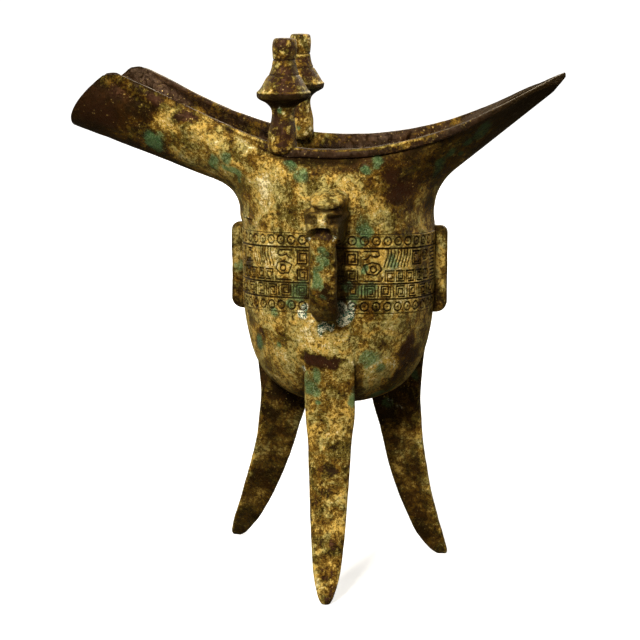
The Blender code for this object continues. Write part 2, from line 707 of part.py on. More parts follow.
def main():
    """Builds the vessel."""
    for leftover in list(bpy.data.objects):
        bpy.data.objects.remove(leftover, do_unlink=True)
    parts = new_collection(OBJECT_NAME)
    blanks = new_collection("cutters")

    vessel = make_outside()
    vessel.name = OBJECT_NAME
    parts.objects.link(vessel)
    vessel.data.materials.append(bronze())
    vessel.data.shade_smooth()
    vessel.data.set_sharp_from_angle(angle=math.radians(35.0))

    added = [make_leg(*leg) for leg in LEGS]
    added += [make_rib(math.radians(angle)) for angle in RIB_ANGLES]
    added += [make_strap(), make_head(), make_eye(-1.0), make_eye(1.0)]
    hollow = make_hollow()
    finish = [make_post(*post) for post in POSTS] + [make_relief()]

    for blank in added + [hollow] + finish:
        blanks.objects.link(blank)
        blank.hide_render = True
        blank.display_type = "WIRE"
    for blank in added:
        combine(vessel, blank, "UNION")
    combine(vessel, hollow, "DIFFERENCE", solver="MANIFOLD")
    for blank in finish:
        combine(vessel, blank, "UNION")

    # The middle of the whole outline in plan stands on the origin
    stand = bpy.data.objects.new("stand", None)
    stand.location = (-(SPOUT_END_X + RIM[-1][0]) / 2.0, -(RIB_REACH - HEAD_REACH) / 2.0, 0.0)
    parts.objects.link(stand)
    for piece in [vessel, hollow] + added + finish:
        piece.parent = stand


main()
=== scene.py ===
"""Jue wine vessel in old bronze: fine meshes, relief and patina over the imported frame.

The shapes repeat the named sizes of the solid, in metres, with the cup's axis at x = y = 0, the tail at +X,
the spout at -X and the handle at -Y. STAND moves them into the row frame.
"""
import math

import bpy
import numpy as np
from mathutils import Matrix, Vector


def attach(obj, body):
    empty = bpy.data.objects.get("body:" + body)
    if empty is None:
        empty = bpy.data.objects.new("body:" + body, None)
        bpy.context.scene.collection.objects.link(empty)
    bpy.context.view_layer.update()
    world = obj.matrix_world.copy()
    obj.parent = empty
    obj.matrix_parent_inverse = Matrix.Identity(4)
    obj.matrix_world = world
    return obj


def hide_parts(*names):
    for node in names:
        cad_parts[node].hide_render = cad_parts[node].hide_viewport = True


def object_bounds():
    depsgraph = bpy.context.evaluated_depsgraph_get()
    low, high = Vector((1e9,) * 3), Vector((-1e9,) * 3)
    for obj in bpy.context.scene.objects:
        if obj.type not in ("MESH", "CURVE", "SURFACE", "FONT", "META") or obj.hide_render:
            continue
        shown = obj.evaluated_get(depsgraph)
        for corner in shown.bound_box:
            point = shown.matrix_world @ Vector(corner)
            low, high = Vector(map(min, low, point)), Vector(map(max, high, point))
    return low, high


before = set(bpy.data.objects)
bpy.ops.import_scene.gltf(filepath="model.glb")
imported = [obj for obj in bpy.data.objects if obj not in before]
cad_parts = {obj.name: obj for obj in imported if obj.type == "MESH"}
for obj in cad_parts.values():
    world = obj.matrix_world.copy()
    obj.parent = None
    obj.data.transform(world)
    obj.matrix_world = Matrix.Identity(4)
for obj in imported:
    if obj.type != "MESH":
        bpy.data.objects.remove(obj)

cad_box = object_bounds()

# Cup
CUP_RADIUS = 0.0343
CUP_BOTTOM = 0.0634
CUP_SHOULDER = 0.1120
EGG_HEIGHT_POWER = 2.8
EGG_RADIUS_POWER = 3.0
NECK_RADIUS = 0.0346
NECK_SHIFT = 0.0008
NECK_HEIGHT = 0.1305
WALL = 0.0026
ROOT_IN_WALL = 0.6

# Mouth: place along X, half width, height of the rim
RIM = (
    (-0.0800, 0.0212, 0.1798),
    (-0.0755, 0.0220, 0.1803),
    (-0.0680, 0.0212, 0.1775),
    (-0.0540, 0.0190, 0.1708),
    (-0.0400, 0.0203, 0.1646),
    (-0.0270, 0.0255, 0.1599),
    (-0.0140, 0.0300, 0.1570),
    (0.0000, 0.0312, 0.1562),
    (0.0160, 0.0310, 0.1573),
    (0.0300, 0.0292, 0.1602),
    (0.0440, 0.0250, 0.1646),
    (0.0560, 0.0178, 0.1698),
    (0.0670, 0.0100, 0.1753),
    (0.0750, 0.0042, 0.1793),
    (0.0790, 0.0004, 0.1812),
)
LIP_HEIGHT = 0.0034
LIP_PROUD = 0.0013
LIP_UNDERCUT = 0.0002
KEEL_DEPTH = 0.0028
LIP_START_X = -0.0425
LIP_FADE_SPOUT = 0.0045
FLARE_FADE_SPOUT = 0.0300
LIP_FADE_TAIL = 0.0500
LIP_AT_SPOUT = 0.12
LIP_AT_TAIL = 0.52
LIP_THICK_FROM = -0.0440
LIP_THICK_TO = -0.0060
LIP_THICK_GAIN = 0.38
LIP_EDGE = 0.0013
TAIL_TIP_DEPTH = 0.0019
TAIL_TIP_SLOPE = 1.26
TAIL_ROUND = 0.0012
TAIL_TIP_LENGTH = 0.0070
SKIN_SUNK = 0.00012
NARROWEST = 0.25

# Spout and tail
SPOUT_END_X = -0.0950
SPOUT_END_Z = 0.1608
SPOUT_START_ANGLE = 142.0
SPOUT_END_LEAN = 1.65
SPOUT_SLOPE = (0.94, 0.0, -0.33)
SPOUT_WAIST = 0.10
SPOUT_WAIST_START = -0.0300
TIP_ANGLE = 12.0
BEND_HEIGHT_SPOUT = 0.1388
BEND_HEIGHT_SIDE = 0.1490
BEND_HEIGHT_TAIL = 0.1405
BEND_REACH_SPOUT = 0.0110
BEND_REACH_TAIL = 0.0100

# Relief band: heights beside the ribs, and how much higher it runs in between
BAND_TOP = 0.1256
BAND_UPPER_LINE = 0.1205
BAND_MIDDLE_LINE = 0.1082
BAND_LOWER_LINE = 0.1030
BAND_BOTTOM = 0.0977
BAND_BOW = 0.0024
MASK_SPLIT = 0.1137
RINGS_AROUND = 50
RING_RADIUS = 0.00145
SPIRALS_AROUND = 36
SPIRAL_SIZE = 0.0036
SPIRAL_STEP = 0.00086
# The mask on each side of the handle and of the back rib; angles in degrees from there
MASK_EYE_ANGLE = 27.0
MASK_PLUMES = 8
PLUME_ANGLES = (34.5, 2.35)
PLUME_SWAY = 0.0009
PLUME_HEIGHT = 0.0058
MASK_BARS = 9
BAR_ANGLES = (74.0, 83.0)
BAR_HEIGHTS = (0.0012, 0.00125)
# Curls and squares: angle, size, turns, step, row, upside down
MASK_SPIRALS = (
    (14.0, 0.0044, 2, 0.00095, "upper", False),
    (14.5, 0.0036, 2, 0.00086, "lower", True),
    (37.5, 0.0036, 2, 0.00088, "lower", False),
    (45.0, 0.0036, 2, 0.00088, "lower", True),
    (52.5, 0.0036, 2, 0.00088, "lower", False),
    (58.5, 0.0046, 2, 0.0009, "upper", True),
    (60.5, 0.0036, 2, 0.00086, "lower", False),
    (68.0, 0.0032, 1, 0.0009, "lower", True),
)
# Rings: angle, radius, row, how far above its middle
MASK_RINGS = (
    (MASK_EYE_ANGLE, 0.0011, "split", -0.0004),
    (67.0, 0.0017, "upper", 0.0008),
    (67.0, 0.0008, "upper", 0.0008),
)
# The eye's frame: row, and points round and up from the eye
MASK_FRAME = (
    ("split", ((-0.0035, 0.0008), (-0.0022, -0.0021), (0.0012, -0.0024), (0.0030, -0.0006),
               (0.0022, 0.0014), (-0.0006, 0.0019), (-0.0035, 0.0008))),
    ("upper", ((-0.0034, 0.0024), (0.0018, 0.0024), (0.0024, 0.0010), (0.0006, 0.0004),
               (-0.0014, 0.0010), (-0.0020, 0.0000), (-0.0034, -0.0004))),
    ("lower", ((-0.0032, -0.0018), (0.0030, -0.0018), (0.0034, -0.0006))),
)
GROOVE_DEPTH = 0.00060
GROOVE_HALF = 0.00018
GROOVE_EDGE = 0.00016
PLATE_PROUD = 0.00022

# Ribs
RIB_ANGLES = (0.0, 90.0, 180.0)
RIB_REACH = 0.0388
RIB_THICKNESS = 0.0032
RIB_BOTTOM = 0.0955
RIB_TOP = 0.1268
RIB_CORNER_TOP = 0.0028
RIB_CORNER_BOTTOM = 0.0040
RIB_BEVEL = 0.0006
RIB_SUNK = 0.0001

# Legs: name, direction at the cup, direction at the foot, reach of the foot
LEGS = (
    ("leg_front", -89.4, -88.7, 0.0465),
    ("leg_back_right", 30.0, 26.5, 0.0435),
    ("leg_back_left", 155.0, 143.5, 0.0561),
)
LEG_ROOT_REACH = 0.0305
LEG_SWEEP_POWER = 1.75
LEG_SWEEP_TOP = 0.0640
LEG_TIP_ROUND = 0.0024
LEG_TIP_CENTRE = np.array((-0.45, 0.0))
LEG_MERGE_FROM = 0.0640
LEG_MERGE_TO = 0.0920
LEG_MERGE_REACH = 0.0027
LEG_SECTIONS = (
    (0.0000, 0.0036, 0.0046),
    (0.0020, 0.0052, 0.0060),
    (0.0080, 0.0086, 0.0090),
    (0.0180, 0.0112, 0.0112),
    (0.0350, 0.0136, 0.0134),
    (0.0500, 0.0154, 0.0148),
    (0.0660, 0.0176, 0.0178),
    (0.0840, 0.0176, 0.0120),
)
# How bare the legs are: the front one, and those behind
LEG_BARE = (0.08, 0.22)

# Posts: place along X and Y, height above the rim, lean towards the tail, girth
POSTS = (
    ("post_front", -0.0163, -0.0270, 0.0357, 0.0010, 1.05),
    ("post_back", -0.0176, 0.0265, 0.0349, 0.0000, 1.00),
)
POST_PROFILE = (
    (-0.0036, 0.0026),
    (-0.0028, 0.0040),
    (-0.0014, 0.0047),
    (0.0000, 0.0048),
    (0.0014, 0.0047),
    (0.0035, 0.0046),
    (0.0126, 0.0046),
    (0.0136, 0.0057),
    (0.0147, 0.0077),
    (0.0153, 0.0084),
    (0.0161, 0.0087),
    (0.0169, 0.0087),
    (0.0174, 0.0084),
    (0.0181, 0.0079),
    (0.0208, 0.0063),
    (0.0242, 0.0044),
    (0.0272, 0.0037),
    (0.0330, 0.0039),
    (0.0350, 0.0035),
)
CAP_RIDGE = 0.0172
CAP_LINES = (0.0230, 0.0280)
CAP_UNDERSIDE = (0.0120, 0.0172)
CAP_LINE_DEPTH = 0.00022
CAP_LINE_HALF = 0.00026
CAP_RIDGE_HALF = 0.00030
CAP_TOP_ROUND = 0.0008
POST_LIP_SHARE = 0.30

# Handle
HANDLE_REACH = 0.0468
HANDLE_TOP = 0.1400
HANDLE_BOTTOM = 0.1000
STRAP_SUNK = 0.0035
STRAP_TAPER = 0.10
STRAP_WIDTH = 0.0104
STRAP_THICKNESS = 0.0038
STRAP_BARE = 0.25
# The strap's section, in shares of its width and thickness, outwards below zero
STRAP_SECTION = (
    (-0.5, 0.05), (-0.44, -0.30), (-0.25, -0.56), (0.0, -0.64), (0.25, -0.56),
    (0.44, -0.30), (0.5, 0.05), (0.44, 0.42), (0.0, 0.5), (-0.44, 0.42),
)
HEAD_REACH = 0.0500
HEAD_SHIFT = 0.0009
# Height, reach, half width in front, half width at the wall
HEAD_PROFILE = (
    (0.1258, 0.0478, 0.0050, 0.0062),
    (0.1280, 0.0488, 0.0053, 0.0068),
    (0.1300, 0.0495, 0.0055, 0.0071),
    (0.1322, 0.0497, 0.0055, 0.0072),
    (0.1342, 0.0488, 0.0053, 0.0071),
    (0.1358, 0.0480, 0.0051, 0.0068),
    (0.1368, 0.0470, 0.0049, 0.0064),
    (0.1384, 0.0462, 0.0050, 0.0066),
    (0.1396, 0.0452, 0.0049, 0.0068),
    (0.1408, 0.0424, 0.0046, 0.0066),
    (0.1420, 0.0390, 0.0040, 0.0058),
    (0.1434, 0.0352, 0.0026, 0.0034),
)

# The middle of the whole outline in plan stands on the row frame's origin
STAND = np.array((-(SPOUT_END_X + RIM[-1][0]) / 2.0, -(RIB_REACH - HEAD_REACH) / 2.0, 0.0))

# Patches of the patina by kind: place and radius, in tenths of a millimetre
PER_METRE = 10000.0
PATCHES = {
    "green": (
        (42, -307, 622, 17), (-50, -306, 690, 21), (13, -468, 1234, 23), (0, -468, 1123, 23),
        (-14, -468, 1173, 20), (-620, -155, 1564, 52), (-653, -164, 1592, 28), (-410, -198, 1490, 38),
        (-358, -230, 1519, 31), (-331, -230, 1471, 31), (520, -145, 1625, 55), (470, -155, 1584, 34),
        (369, -171, 1498, 41), (410, -177, 1544, 31), (-94, -326, 1485, 37), (-138, -307, 1506, 27),
        (169, -304, 1527, 27), (129, -319, 1500, 24), (117, -321, 1297, 34), (98, -329, 1256, 24),
        (132, -323, 1084, 34), (99, -333, 1050, 27), (215, -266, 1173, 24), (-94, -330, 1080, 41),
        (-131, -314, 1035, 27), (-153, -307, 1207, 17), (142, -280, 839, 41), (167, -247, 797, 28),
        (81, -291, 705, 35), (151, -153, 682, 42), (198, -122, 699, 28), (-60, -306, 743, 42),
        (-36, -305, 782, 28), (187, 69, 595, 29), (-249, -199, 858, 35), (-207, -276, 991, 28),
        (-153, -316, 1686, 17), (-170, 209, 1579, 15), (10, -468, 1201, 27), (-1, -468, 1254, 20),
        (-357, -16, 1101, 29), (-127, 222, 1700, 50), (100, 330, 900, 70), (-400, 200, 1500, 60),
        (300, 200, 1400, 60), (-200, 270, 1150, 50), (0, 340, 1350, 60), (-260, 160, 800, 60),
        (-1, -468, 1214, 20), (-21, -468, 1156, 17), (13, -468, 1106, 20), (72, -341, 1086, 20),
        (85, -336, 1051, 17), (50, -346, 346, 14), (-1, -468, 1214, 27), (-11, -468, 1133, 27),
        (12, -462, 1078, 23), (-4, -468, 1173, 20), (118, -321, 1159, 20), (85, -337, 1103, 20),
        (496, -147, 1604, 21), (523, -139, 1624, 17), (463, -159, 1581, 21), (442, -133, 1540, 17),
        (-650, -149, 1563, 25), (-626, -132, 1533, 21), (-362, -215, 1476, 21), (-335, -207, 1440, 17),
        (271, 65, 707, 22), (-120, -153, 671, 11), (135, -275, 813, 21), (146, -245, 771, 17),
        (-174, -269, 874, 17), (-36, -305, 690, 14), (66, -304, 675, 10), (60, -312, 552, 10),
    ),
    # Dark patches: dark metal; the small ones in the beast's eye hollows and beside the strap paint shade
    "dark": (
        (-832, -185, 1696, 84), (-754, -187, 1670, 49), (-94, -330, 1177, 14), (64, -335, 1181, 17),
        (-29, -300, 1530, 30), (39, -302, 1528, 30), (-131, -306, 1533, 27), (125, -306, 1526, 30),
        (-60, -307, 835, 14), (-28, -323, 830, 26), (7, -310, 823, 14), (-14, -414, 129, 17),
        (27, -434, 73, 17), (1, -453, 27, 14), (-246, -216, 897, 32), (-265, -226, 1023, 17),
        (317, -85, 904, 28), (-246, -243, 1220, 17), (320, -123, 1196, 17), (-639, -194, 1651, 35),
        (-560, -193, 1713, 28), (338, -225, 1521, 27), (388, -213, 1554, 20), (-25, -461, 1070, 23),
        (25, -453, 1049, 23), (52, -457, 1200, 17), (-34, -468, 1200, 13), (-882, -161, 1659, 77),
        (-770, -202, 1719, 56), (-816, -168, 1653, 63), (-708, -197, 1685, 35), (-732, -163, 1612, 42),
        (-515, -193, 1672, 28), (703, -64, 1743, 103), (610, -134, 1700, 61), (499, -217, 1658, 34),
        (-368, -214, 1607, 17), (-356, -224, 1573, 17), (-343, -236, 1547, 21), (-270, -259, 1523, 27),
        (287, -221, 1451, 61), (239, -246, 1385, 55), (325, -112, 1352, 42), (202, -297, 1492, 47),
        (274, -275, 1525, 41), (149, -310, 1446, 30), (5, -304, 1524, 47), (75, -317, 1513, 40),
        (-57, -297, 1530, 34), (-113, -287, 1535, 27), (-287, -208, 1323, 28), (-237, -257, 1302, 24),
        (-162, -309, 1314, 17), (-296, -229, 1423, 21), (9, -464, 1085, 40), (52, -457, 1139, 20),
        (-253, -214, 914, 21), (-272, -146, 821, 21), (-288, 41, 708, 29), (-194, 50, 633, 33),
        (-187, -275, 928, 14), (271, -170, 866, 35), (237, -169, 782, 32), (182, -267, 883, 21),
        (315, -117, 953, 21), (55, -304, 749, 17), (-28, -308, 620, 21), (63, -309, 587, 17),
        (15, -314, 530, 17), (-33, -327, 445, 17), (40, -344, 352, 17), (-12, -376, 244, 17),
        (-44, -352, 326, 17), (19, -402, 159, 14), (-151, 60, 595, 26), (-266, 78, 458, 22),
        (-213, 75, 483, 22), (-341, 120, 314, 22), (-286, 150, 246, 23), (-401, 194, 154, 19),
        (-344, 217, 110, 19), (-394, 262, 51, 19), (143, 74, 563, 26), (187, 86, 456, 33), (246, 98, 341, 26),
        (290, 129, 149, 26), (371, 151, 99, 22), (-363, -16, 1257, 18), (360, -4, 1268, 18),
        (364, -16, 1001, 18), (-373, -16, 983, 18), (-34, -490, 1342, 16), (40, -480, 1342, 18),
        (64, -430, 1340, 30), (62, -430, 1290, 30), (-60, -420, 1330, 30), (-155, -270, 1935, 34),
        (-176, 265, 1930, 34), (100, 320, 1480, 90), (-200, 280, 1380, 70), (300, 160, 1300, 70),
        (-120, 300, 800, 60), (-780, 190, 1680, 100), (600, 120, 1680, 90), (-60, -320, 842, 26),
        (-45, -322, 840, 26), (-31, -324, 837, 26), (-17, -324, 834, 26), (-3, -323, 831, 26),
        (10, -323, 827, 26), (24, -321, 820, 26), (8, -422, 107, 24), (-30, -348, 343, 21),
        (9, -326, 447, 17), (-75, -341, 1255, 10), (239, -256, 1437, 31), (270, -211, 1364, 24),
        (-4, -362, 294, 38), (-32, -387, 210, 28), (18, -341, 372, 31), (6, -407, 146, 24),
        (-55, -309, 1558, 17), (-511, 170, 1674, 29), (-662, -99, 1530, 25), (-293, -178, 1139, 21),
        (-249, -199, 858, 25), (-231, -179, 782, 25), (-270, -197, 928, 21), (303, -154, 1024, 21),
        (-335, -129, 1343, 21),
    ),
    "gold": (
        (18, -400, 1407, 30), (47, -417, 1389, 23), (-219, -279, 1416, 48), (-188, -296, 1466, 31),
        (19, -414, 1402, 27), (77, -333, 1379, 34), (117, -322, 1351, 27), (130, -317, 1426, 30),
        (188, -284, 1313, 27), (-567, -200, 1631, 35), (-477, -210, 1605, 41), (-408, -223, 1566, 34),
        (-665, -198, 1692, 21), (-321, -222, 1581, 21), (-279, -242, 1562, 24), (-340, -181, 1416, 24),
        (215, -266, 1187, 62), (279, -203, 1095, 42), (164, -300, 1060, 27), (-214, -271, 1165, 35),
        (-124, -318, 1147, 34), (-255, -237, 1061, 28), (-364, -16, 1122, 29), (-96, -321, 939, 48),
        (-167, -267, 849, 28), (43, -327, 916, 31), (216, -257, 949, 41), (131, -308, 942, 21),
        (-53, -333, 970, 21), (82, -301, 827, 17), (62, -304, 693, 17), (-43, -306, 654, 17),
        (17, -332, 420, 21), (50, -320, 475, 17), (6, -358, 304, 17), (-16, -403, 158, 17),
        (-239, 54, 586, 22), (-270, 60, 531, 18), (-299, 93, 400, 22), (-224, 97, 393, 19),
        (-334, 162, 217, 23), (-393, 231, 92, 19), (231, 77, 520, 18), (216, 92, 394, 22),
        (260, 109, 269, 22), (320, 120, 192, 19), (334, 151, 59, 22), (283, 84, 459, 18),
        (-386, -16, 1147, 22), (366, -16, 1137, 28), (367, -16, 1055, 21), (-180, -322, 1595, 17),
        (-101, -280, 1568, 14), (-144, 232, 1607, 15), (20, -495, 1335, 18), (50, 300, 1350, 80),
        (-200, 290, 900, 70), (-600, 180, 1600, 70), (200, 260, 1180, 60), (330, 130, 300, 45),
        (-23, -402, 1407, 20), (2, -385, 1412, 23), (35, -408, 1405, 20), (54, -339, 1386, 17),
        (84, -332, 1427, 34), (117, -322, 1392, 41), (149, -308, 1364, 30), (61, -338, 1342, 27),
        (171, -214, 747, 35), (133, -260, 785, 31), (211, -195, 773, 32), (140, -182, 696, 25),
        (110, -324, 1341, 27), (61, -336, 1427, 24), (-93, -333, 1441, 24), (63, -312, 498, 14),
        (67, -316, 446, 14), (3, -414, 1402, 30), (38, -429, 1387, 23), (94, -330, 1239, 24),
        (112, -328, 1050, 20), (-96, -321, 939, 31), (-155, -275, 851, 28), (126, -318, 1426, 34),
        (175, -294, 1373, 27), (84, -332, 1461, 27), (149, -309, 1442, 27), (117, -322, 1351, 27),
    ),
    # Teal patches: pale blue-green crust, mostly round the strap's foot; the small ones at the beast's mouth
    # paint highlights
    "teal": (
        (-79, -338, 1026, 15), (-73, -337, 998, 21), (-46, -335, 974, 21), (-11, -336, 958, 21),
        (27, -336, 959, 21), (58, -333, 980, 25), (82, -332, 1008, 25), (92, -336, 1033, 15),
        (78, -333, 994, 27), (51, -336, 1022, 25), (10, -337, 966, 24), (-73, -339, 1027, 21),
        (-87, -334, 997, 21), (-45, -414, 1394, 17), (-69, -338, 1364, 15), (-25, -335, 943, 25),
        (217, 70, 581, 18), (195, 68, 603, 15), (-80, -290, 785, 14), (-152, -320, 1699, 10),
        (-34, -468, 1288, 8), (36, -468, 1285, 9), (2, -468, 1297, 10), (120, 310, 960, 22),
        (-17, -498, 1285, 7), (36, -489, 1278, 9), (20, -495, 1272, 7), (78, -332, 1008, 17),
        (54, -334, 980, 17), (34, -335, 959, 14), (-66, -334, 1026, 10), (13, -493, 1302, 10),
        (3, -494, 1298, 12), (23, -491, 1298, 12),
    ),
    "red": (
        (-865, -170, 1674, 84), (-809, -165, 1646, 56), (11, -444, 50, 28), (0, -419, 114, 28),
        (-60, -319, 835, 26), (-24, -311, 830, 21), (10, -322, 824, 26), (-264, -239, 1355, 21),
        (255, -238, 1418, 41), (339, -132, 1421, 31), (-634, -208, 1721, 28), (276, -139, 824, 32),
        (-289, -167, 933, 21), (-755, -204, 1740, 35), (214, -280, 1464, 30), (-150, -320, 1800, 70),
        (-155, -310, 1890, 45), (-160, -310, 1620, 50), (-176, 225, 1800, 65), (-176, 240, 1640, 50),
        (0, 340, 1430, 60), (-60, -320, 842, 26), (-45, -322, 840, 26), (-31, -324, 837, 26),
        (-17, -324, 834, 26), (-3, -323, 831, 26), (10, -323, 827, 26), (24, -321, 820, 26),
        (-3, -444, 49, 17), (223, -261, 1404, 31), (18, -390, 195, 21), (-499, -186, 1651, 35),
        (-281, -207, 1214, 24), (-240, -244, 1161, 17), (272, -177, 885, 28), (239, -201, 835, 24),
        (-244, -224, 917, 18), (-291, -220, 1390, 17),
    ),
}
# What each layer of point colours carries in its three channels
LAYERS = {
    "patch": ("green", "dark", "gold"),
    "patch_more": ("teal", "red", "inside"),
    # The surface layer: dirt in grooves with painted shade, the lip, and wear with a painted highlight
    "surface": ("groove", "lip", "wear"),
}


# Small mathematics

def smoothstep(value):
    """0 below 0, 1 above 1, and a soft step between."""
    value = np.clip(value, 0.0, 1.0)
    return value * value * (3.0 - 2.0 * value)


def through(stations, column, x):
    """A smooth curve through one column of the stations, read at x."""
    table = np.array(stations)
    knots = table[:, 0]
    values = table[:, column]
    slopes = np.gradient(values, knots)
    x = np.clip(x, knots[0], knots[-1])
    span = np.clip(np.searchsorted(knots, x) - 1, 0, len(knots) - 2)
    width = knots[span + 1] - knots[span]
    t = (x - knots[span]) / width
    rise = values[span + 1] - values[span]
    first = slopes[span] * width
    last = slopes[span + 1] * width
    return values[span] + t * (first + t * (3 * rise - 2 * first - last + t * (first + last - 2 * rise)))


def lattice(at, seed):
    """A fixed value between -1 and 1 for each point of a lattice."""
    mixed = at[..., 0] * 374761393 + at[..., 1] * 668265263 + at[..., 2] * 1442695041
    mixed = (mixed + seed * 1274126177) & 0xFFFFFFFF
    mixed = ((mixed ^ (mixed >> 13)) * 1274126177) & 0xFFFFFFFF
    return ((mixed ^ (mixed >> 16)) & 0xFFFF) / 32767.5 - 1.0


def lumps(points, size, seed):
    """Smooth noise in space, about size across, between -1 and 1."""
    scaled = points / size
    cell = np.floor(scaled).astype(np.int64)
    part = scaled - cell
    part = part * part * (3.0 - 2.0 * part)
    total = 0.0
    for corner in np.ndindex(2, 2, 2):
        weight = 1.0
        for k in range(3):
            weight = weight * (part[..., k] if corner[k] else 1.0 - part[..., k])
        total = total + weight * lattice(cell + corner, seed)
    return total


def rough_skin(points):
    """How far old cast skin stands off its ideal surface: soft dents and a fine crust."""
    return (
        0.00016 * lumps(points, 0.0090, 11)
        + 0.00007 * lumps(points, 0.0032, 12)
        + 0.00004 * lumps(points, 0.0013, 13)
    )


def polyline_distance(u, v, line):
    """Least distance from each (u, v) to a line of points."""
    best = np.full(u.shape, 1.0)
    for (au, av), (bu, bv) in zip(line[:-1], line[1:]):
        du = bu - au
        dv = bv - av
        t = np.clip(((u - au) * du + (v - av) * dv) / max(du * du + dv * dv, 1e-16), 0.0, 1.0)
        best = np.minimum(best, np.hypot(u - au - t * du, v - av - t * dv))
    return best


# Meshes

def grid_normals(grid, wrap=True):
    """Outward normals of a grid of points whose second axis runs round the vessel."""
    if wrap:
        around = np.roll(grid, -1, axis=1) - np.roll(grid, 1, axis=1)
    else:
        around = np.gradient(grid, axis=1)
    along = np.gradient(grid, axis=0)
    normal = np.cross(around, along)
    return normal / np.maximum(np.linalg.norm(normal, axis=2, keepdims=True), 1e-12)


def grid_faces(rows, columns, wrap=True):
    """Quads over a grid of points, as rows of four indices."""
    i, j = np.meshgrid(np.arange(rows - 1), np.arange(columns if wrap else columns - 1), indexing="ij")
    after = (j + 1) % columns
    quads = np.stack((i * columns + j, i * columns + after,
                      (i + 1) * columns + after, (i + 1) * columns + j), -1)
    return quads.reshape(-1, 4)


def tint(points):
    """How strongly each kind of patch shows at each point, 0 to 1; small dark ones are weaker."""
    strength = {}
    warped = points + 0.0022 * np.stack([lumps(points, 0.0050, seed) for seed in (31, 32, 33)], -1)
    for kind, rows in PATCHES.items():
        strength[kind] = np.zeros(len(points))
        for x, y, z, radius in np.array(rows) / PER_METRE:
            away = np.linalg.norm(warped - np.array((x, y, z)), axis=1) / radius
            weight = 0.5 + 0.5 * smoothstep(radius / 0.0045) if kind == "dark" else 1.0
            strength[kind] = np.maximum(strength[kind], weight * smoothstep((1.60 - away) / 1.2))
    return strength


def make_piece(name, points, faces, material, **shares):
    """A piece of the vessel from points in the cup's frame.

    The shares for grooves with dirt and painted shade, the lip, the inside, wear with a painted highlight,
    and bare metal tell the patina how much of each lies on the first points, mostly 0 to 1. It is 0 on the
    points after them.
    """
    points = np.asarray(points, float).reshape(-1, 3)
    low, high = (np.array(corner) for corner in cad_box)
    mesh = bpy.data.meshes.new(name)
    mesh.from_pydata(np.clip(points + STAND, low, high).tolist(), [],
                     [tuple(int(k) for k in face) for face in faces])
    mesh.validate()
    strength = tint(points)
    for kind in ("groove", "lip", "inside", "wear", "bare"):
        given = np.ravel(shares.get(kind, 0.0))
        strength[kind] = np.append(given, np.zeros(len(points) - len(given)))
    strength["dark"] = np.maximum(strength["dark"], strength["bare"])
    for layer, kinds in LAYERS.items():
        attribute = mesh.attributes.new(layer, "FLOAT_COLOR", "POINT")
        values = np.ones((len(points), 4), np.float32)
        values[:, :3] = np.stack([strength[kind] for kind in kinds], -1)
        attribute.data.foreach_set("color", values.ravel())
    mesh.shade_smooth()
    mesh.materials.append(material)
    piece = bpy.data.objects.new(name, mesh)
    bpy.context.scene.collection.objects.link(piece)
    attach(piece, "root")
    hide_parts("jue_vessel")
    return piece


def closed_faces(rows, columns):
    """Quads over a grid of rings, and a fan at each end to one of the two points after the grid."""
    last = (rows - 1) * columns
    faces = list(grid_faces(rows, columns))
    faces += [((j + 1) % columns, j, rows * columns) for j in range(columns)]
    faces += [(last + j, last + (j + 1) % columns, rows * columns + 1) for j in range(columns)]
    return faces


def rough_on(grid):
    """The cast skin's height at each point of a grid."""
    return rough_skin(grid.reshape(-1, 3)).reshape(grid.shape[:2])


# The vessel's skin

def neck_radius(angle):
    """Outer radius where the neck turns into the flare."""
    return NECK_RADIUS - NECK_SHIFT * np.cos(angle)


def cup_radius(height, angle):
    """Outer radius of the cup at a height; the neck leans a little towards the spout."""
    depth = np.clip((CUP_SHOULDER - height) / (CUP_SHOULDER - CUP_BOTTOM), 0.0, 1.0)
    egg = CUP_RADIUS * (1.0 - depth ** EGG_HEIGHT_POWER) ** (1.0 / EGG_RADIUS_POWER)
    neck = smoothstep((height - BAND_TOP) / (NECK_HEIGHT - BAND_TOP))
    return egg - (CUP_RADIUS - neck_radius(angle)) * neck


def egg_height(radius):
    """Height of the egg's outer surface at a radius."""
    share = np.clip(radius / CUP_RADIUS, 0.0, 1.0)
    depth = (1.0 - share ** EGG_RADIUS_POWER) ** (1.0 / EGG_HEIGHT_POWER)
    return CUP_SHOULDER - depth * (CUP_SHOULDER - CUP_BOTTOM)


def bowed(height, angle):
    """The band's lines run higher between the ribs than beside them."""
    fade_in = smoothstep((height - CUP_BOTTOM) / (BAND_BOTTOM - CUP_BOTTOM))
    fade_out = 1.0 - smoothstep((height - BAND_TOP) / (NECK_HEIGHT - BAND_TOP))
    return height + BAND_BOW * fade_in * fade_out * np.sin(angle) ** 2


def circle_row(height, angles):
    """One round of points on the cup."""
    z = bowed(height, angles)
    radius = cup_radius(z, angles)
    return np.column_stack((radius * np.cos(angles), radius * np.sin(angles), z))


def flare_share(x):
    """How far the flare's top edge lies below and inside the rim, as a share of the lip."""
    spout = smoothstep((x - LIP_START_X) / FLARE_FADE_SPOUT)
    tail = smoothstep((RIM[-1][0] - x) / LIP_FADE_TAIL)
    return np.minimum(LIP_AT_SPOUT + (1.0 - LIP_AT_SPOUT) * spout, LIP_AT_TAIL + (1.0 - LIP_AT_TAIL) * tail)


def lip_share(x):
    """1 along the mouth, more beside the spout's root, falling to a thin edge at both ends."""
    spout = smoothstep((x - LIP_START_X) / LIP_FADE_SPOUT)
    tail = smoothstep((RIM[-1][0] - x) / LIP_FADE_TAIL)
    thick = smoothstep((x - LIP_THICK_FROM) / 0.006) * smoothstep((LIP_THICK_TO - x) / 0.010)
    share = np.minimum(LIP_AT_SPOUT + (1.0 - LIP_AT_SPOUT) * spout, LIP_AT_TAIL + (1.0 - LIP_AT_TAIL) * tail)
    return share * (1.0 + LIP_THICK_GAIN * thick)


def turn_of(angles):
    """Degrees away from the tail, 0 to 180."""
    return np.abs(np.degrees(np.arctan2(np.sin(angles), np.cos(angles))))


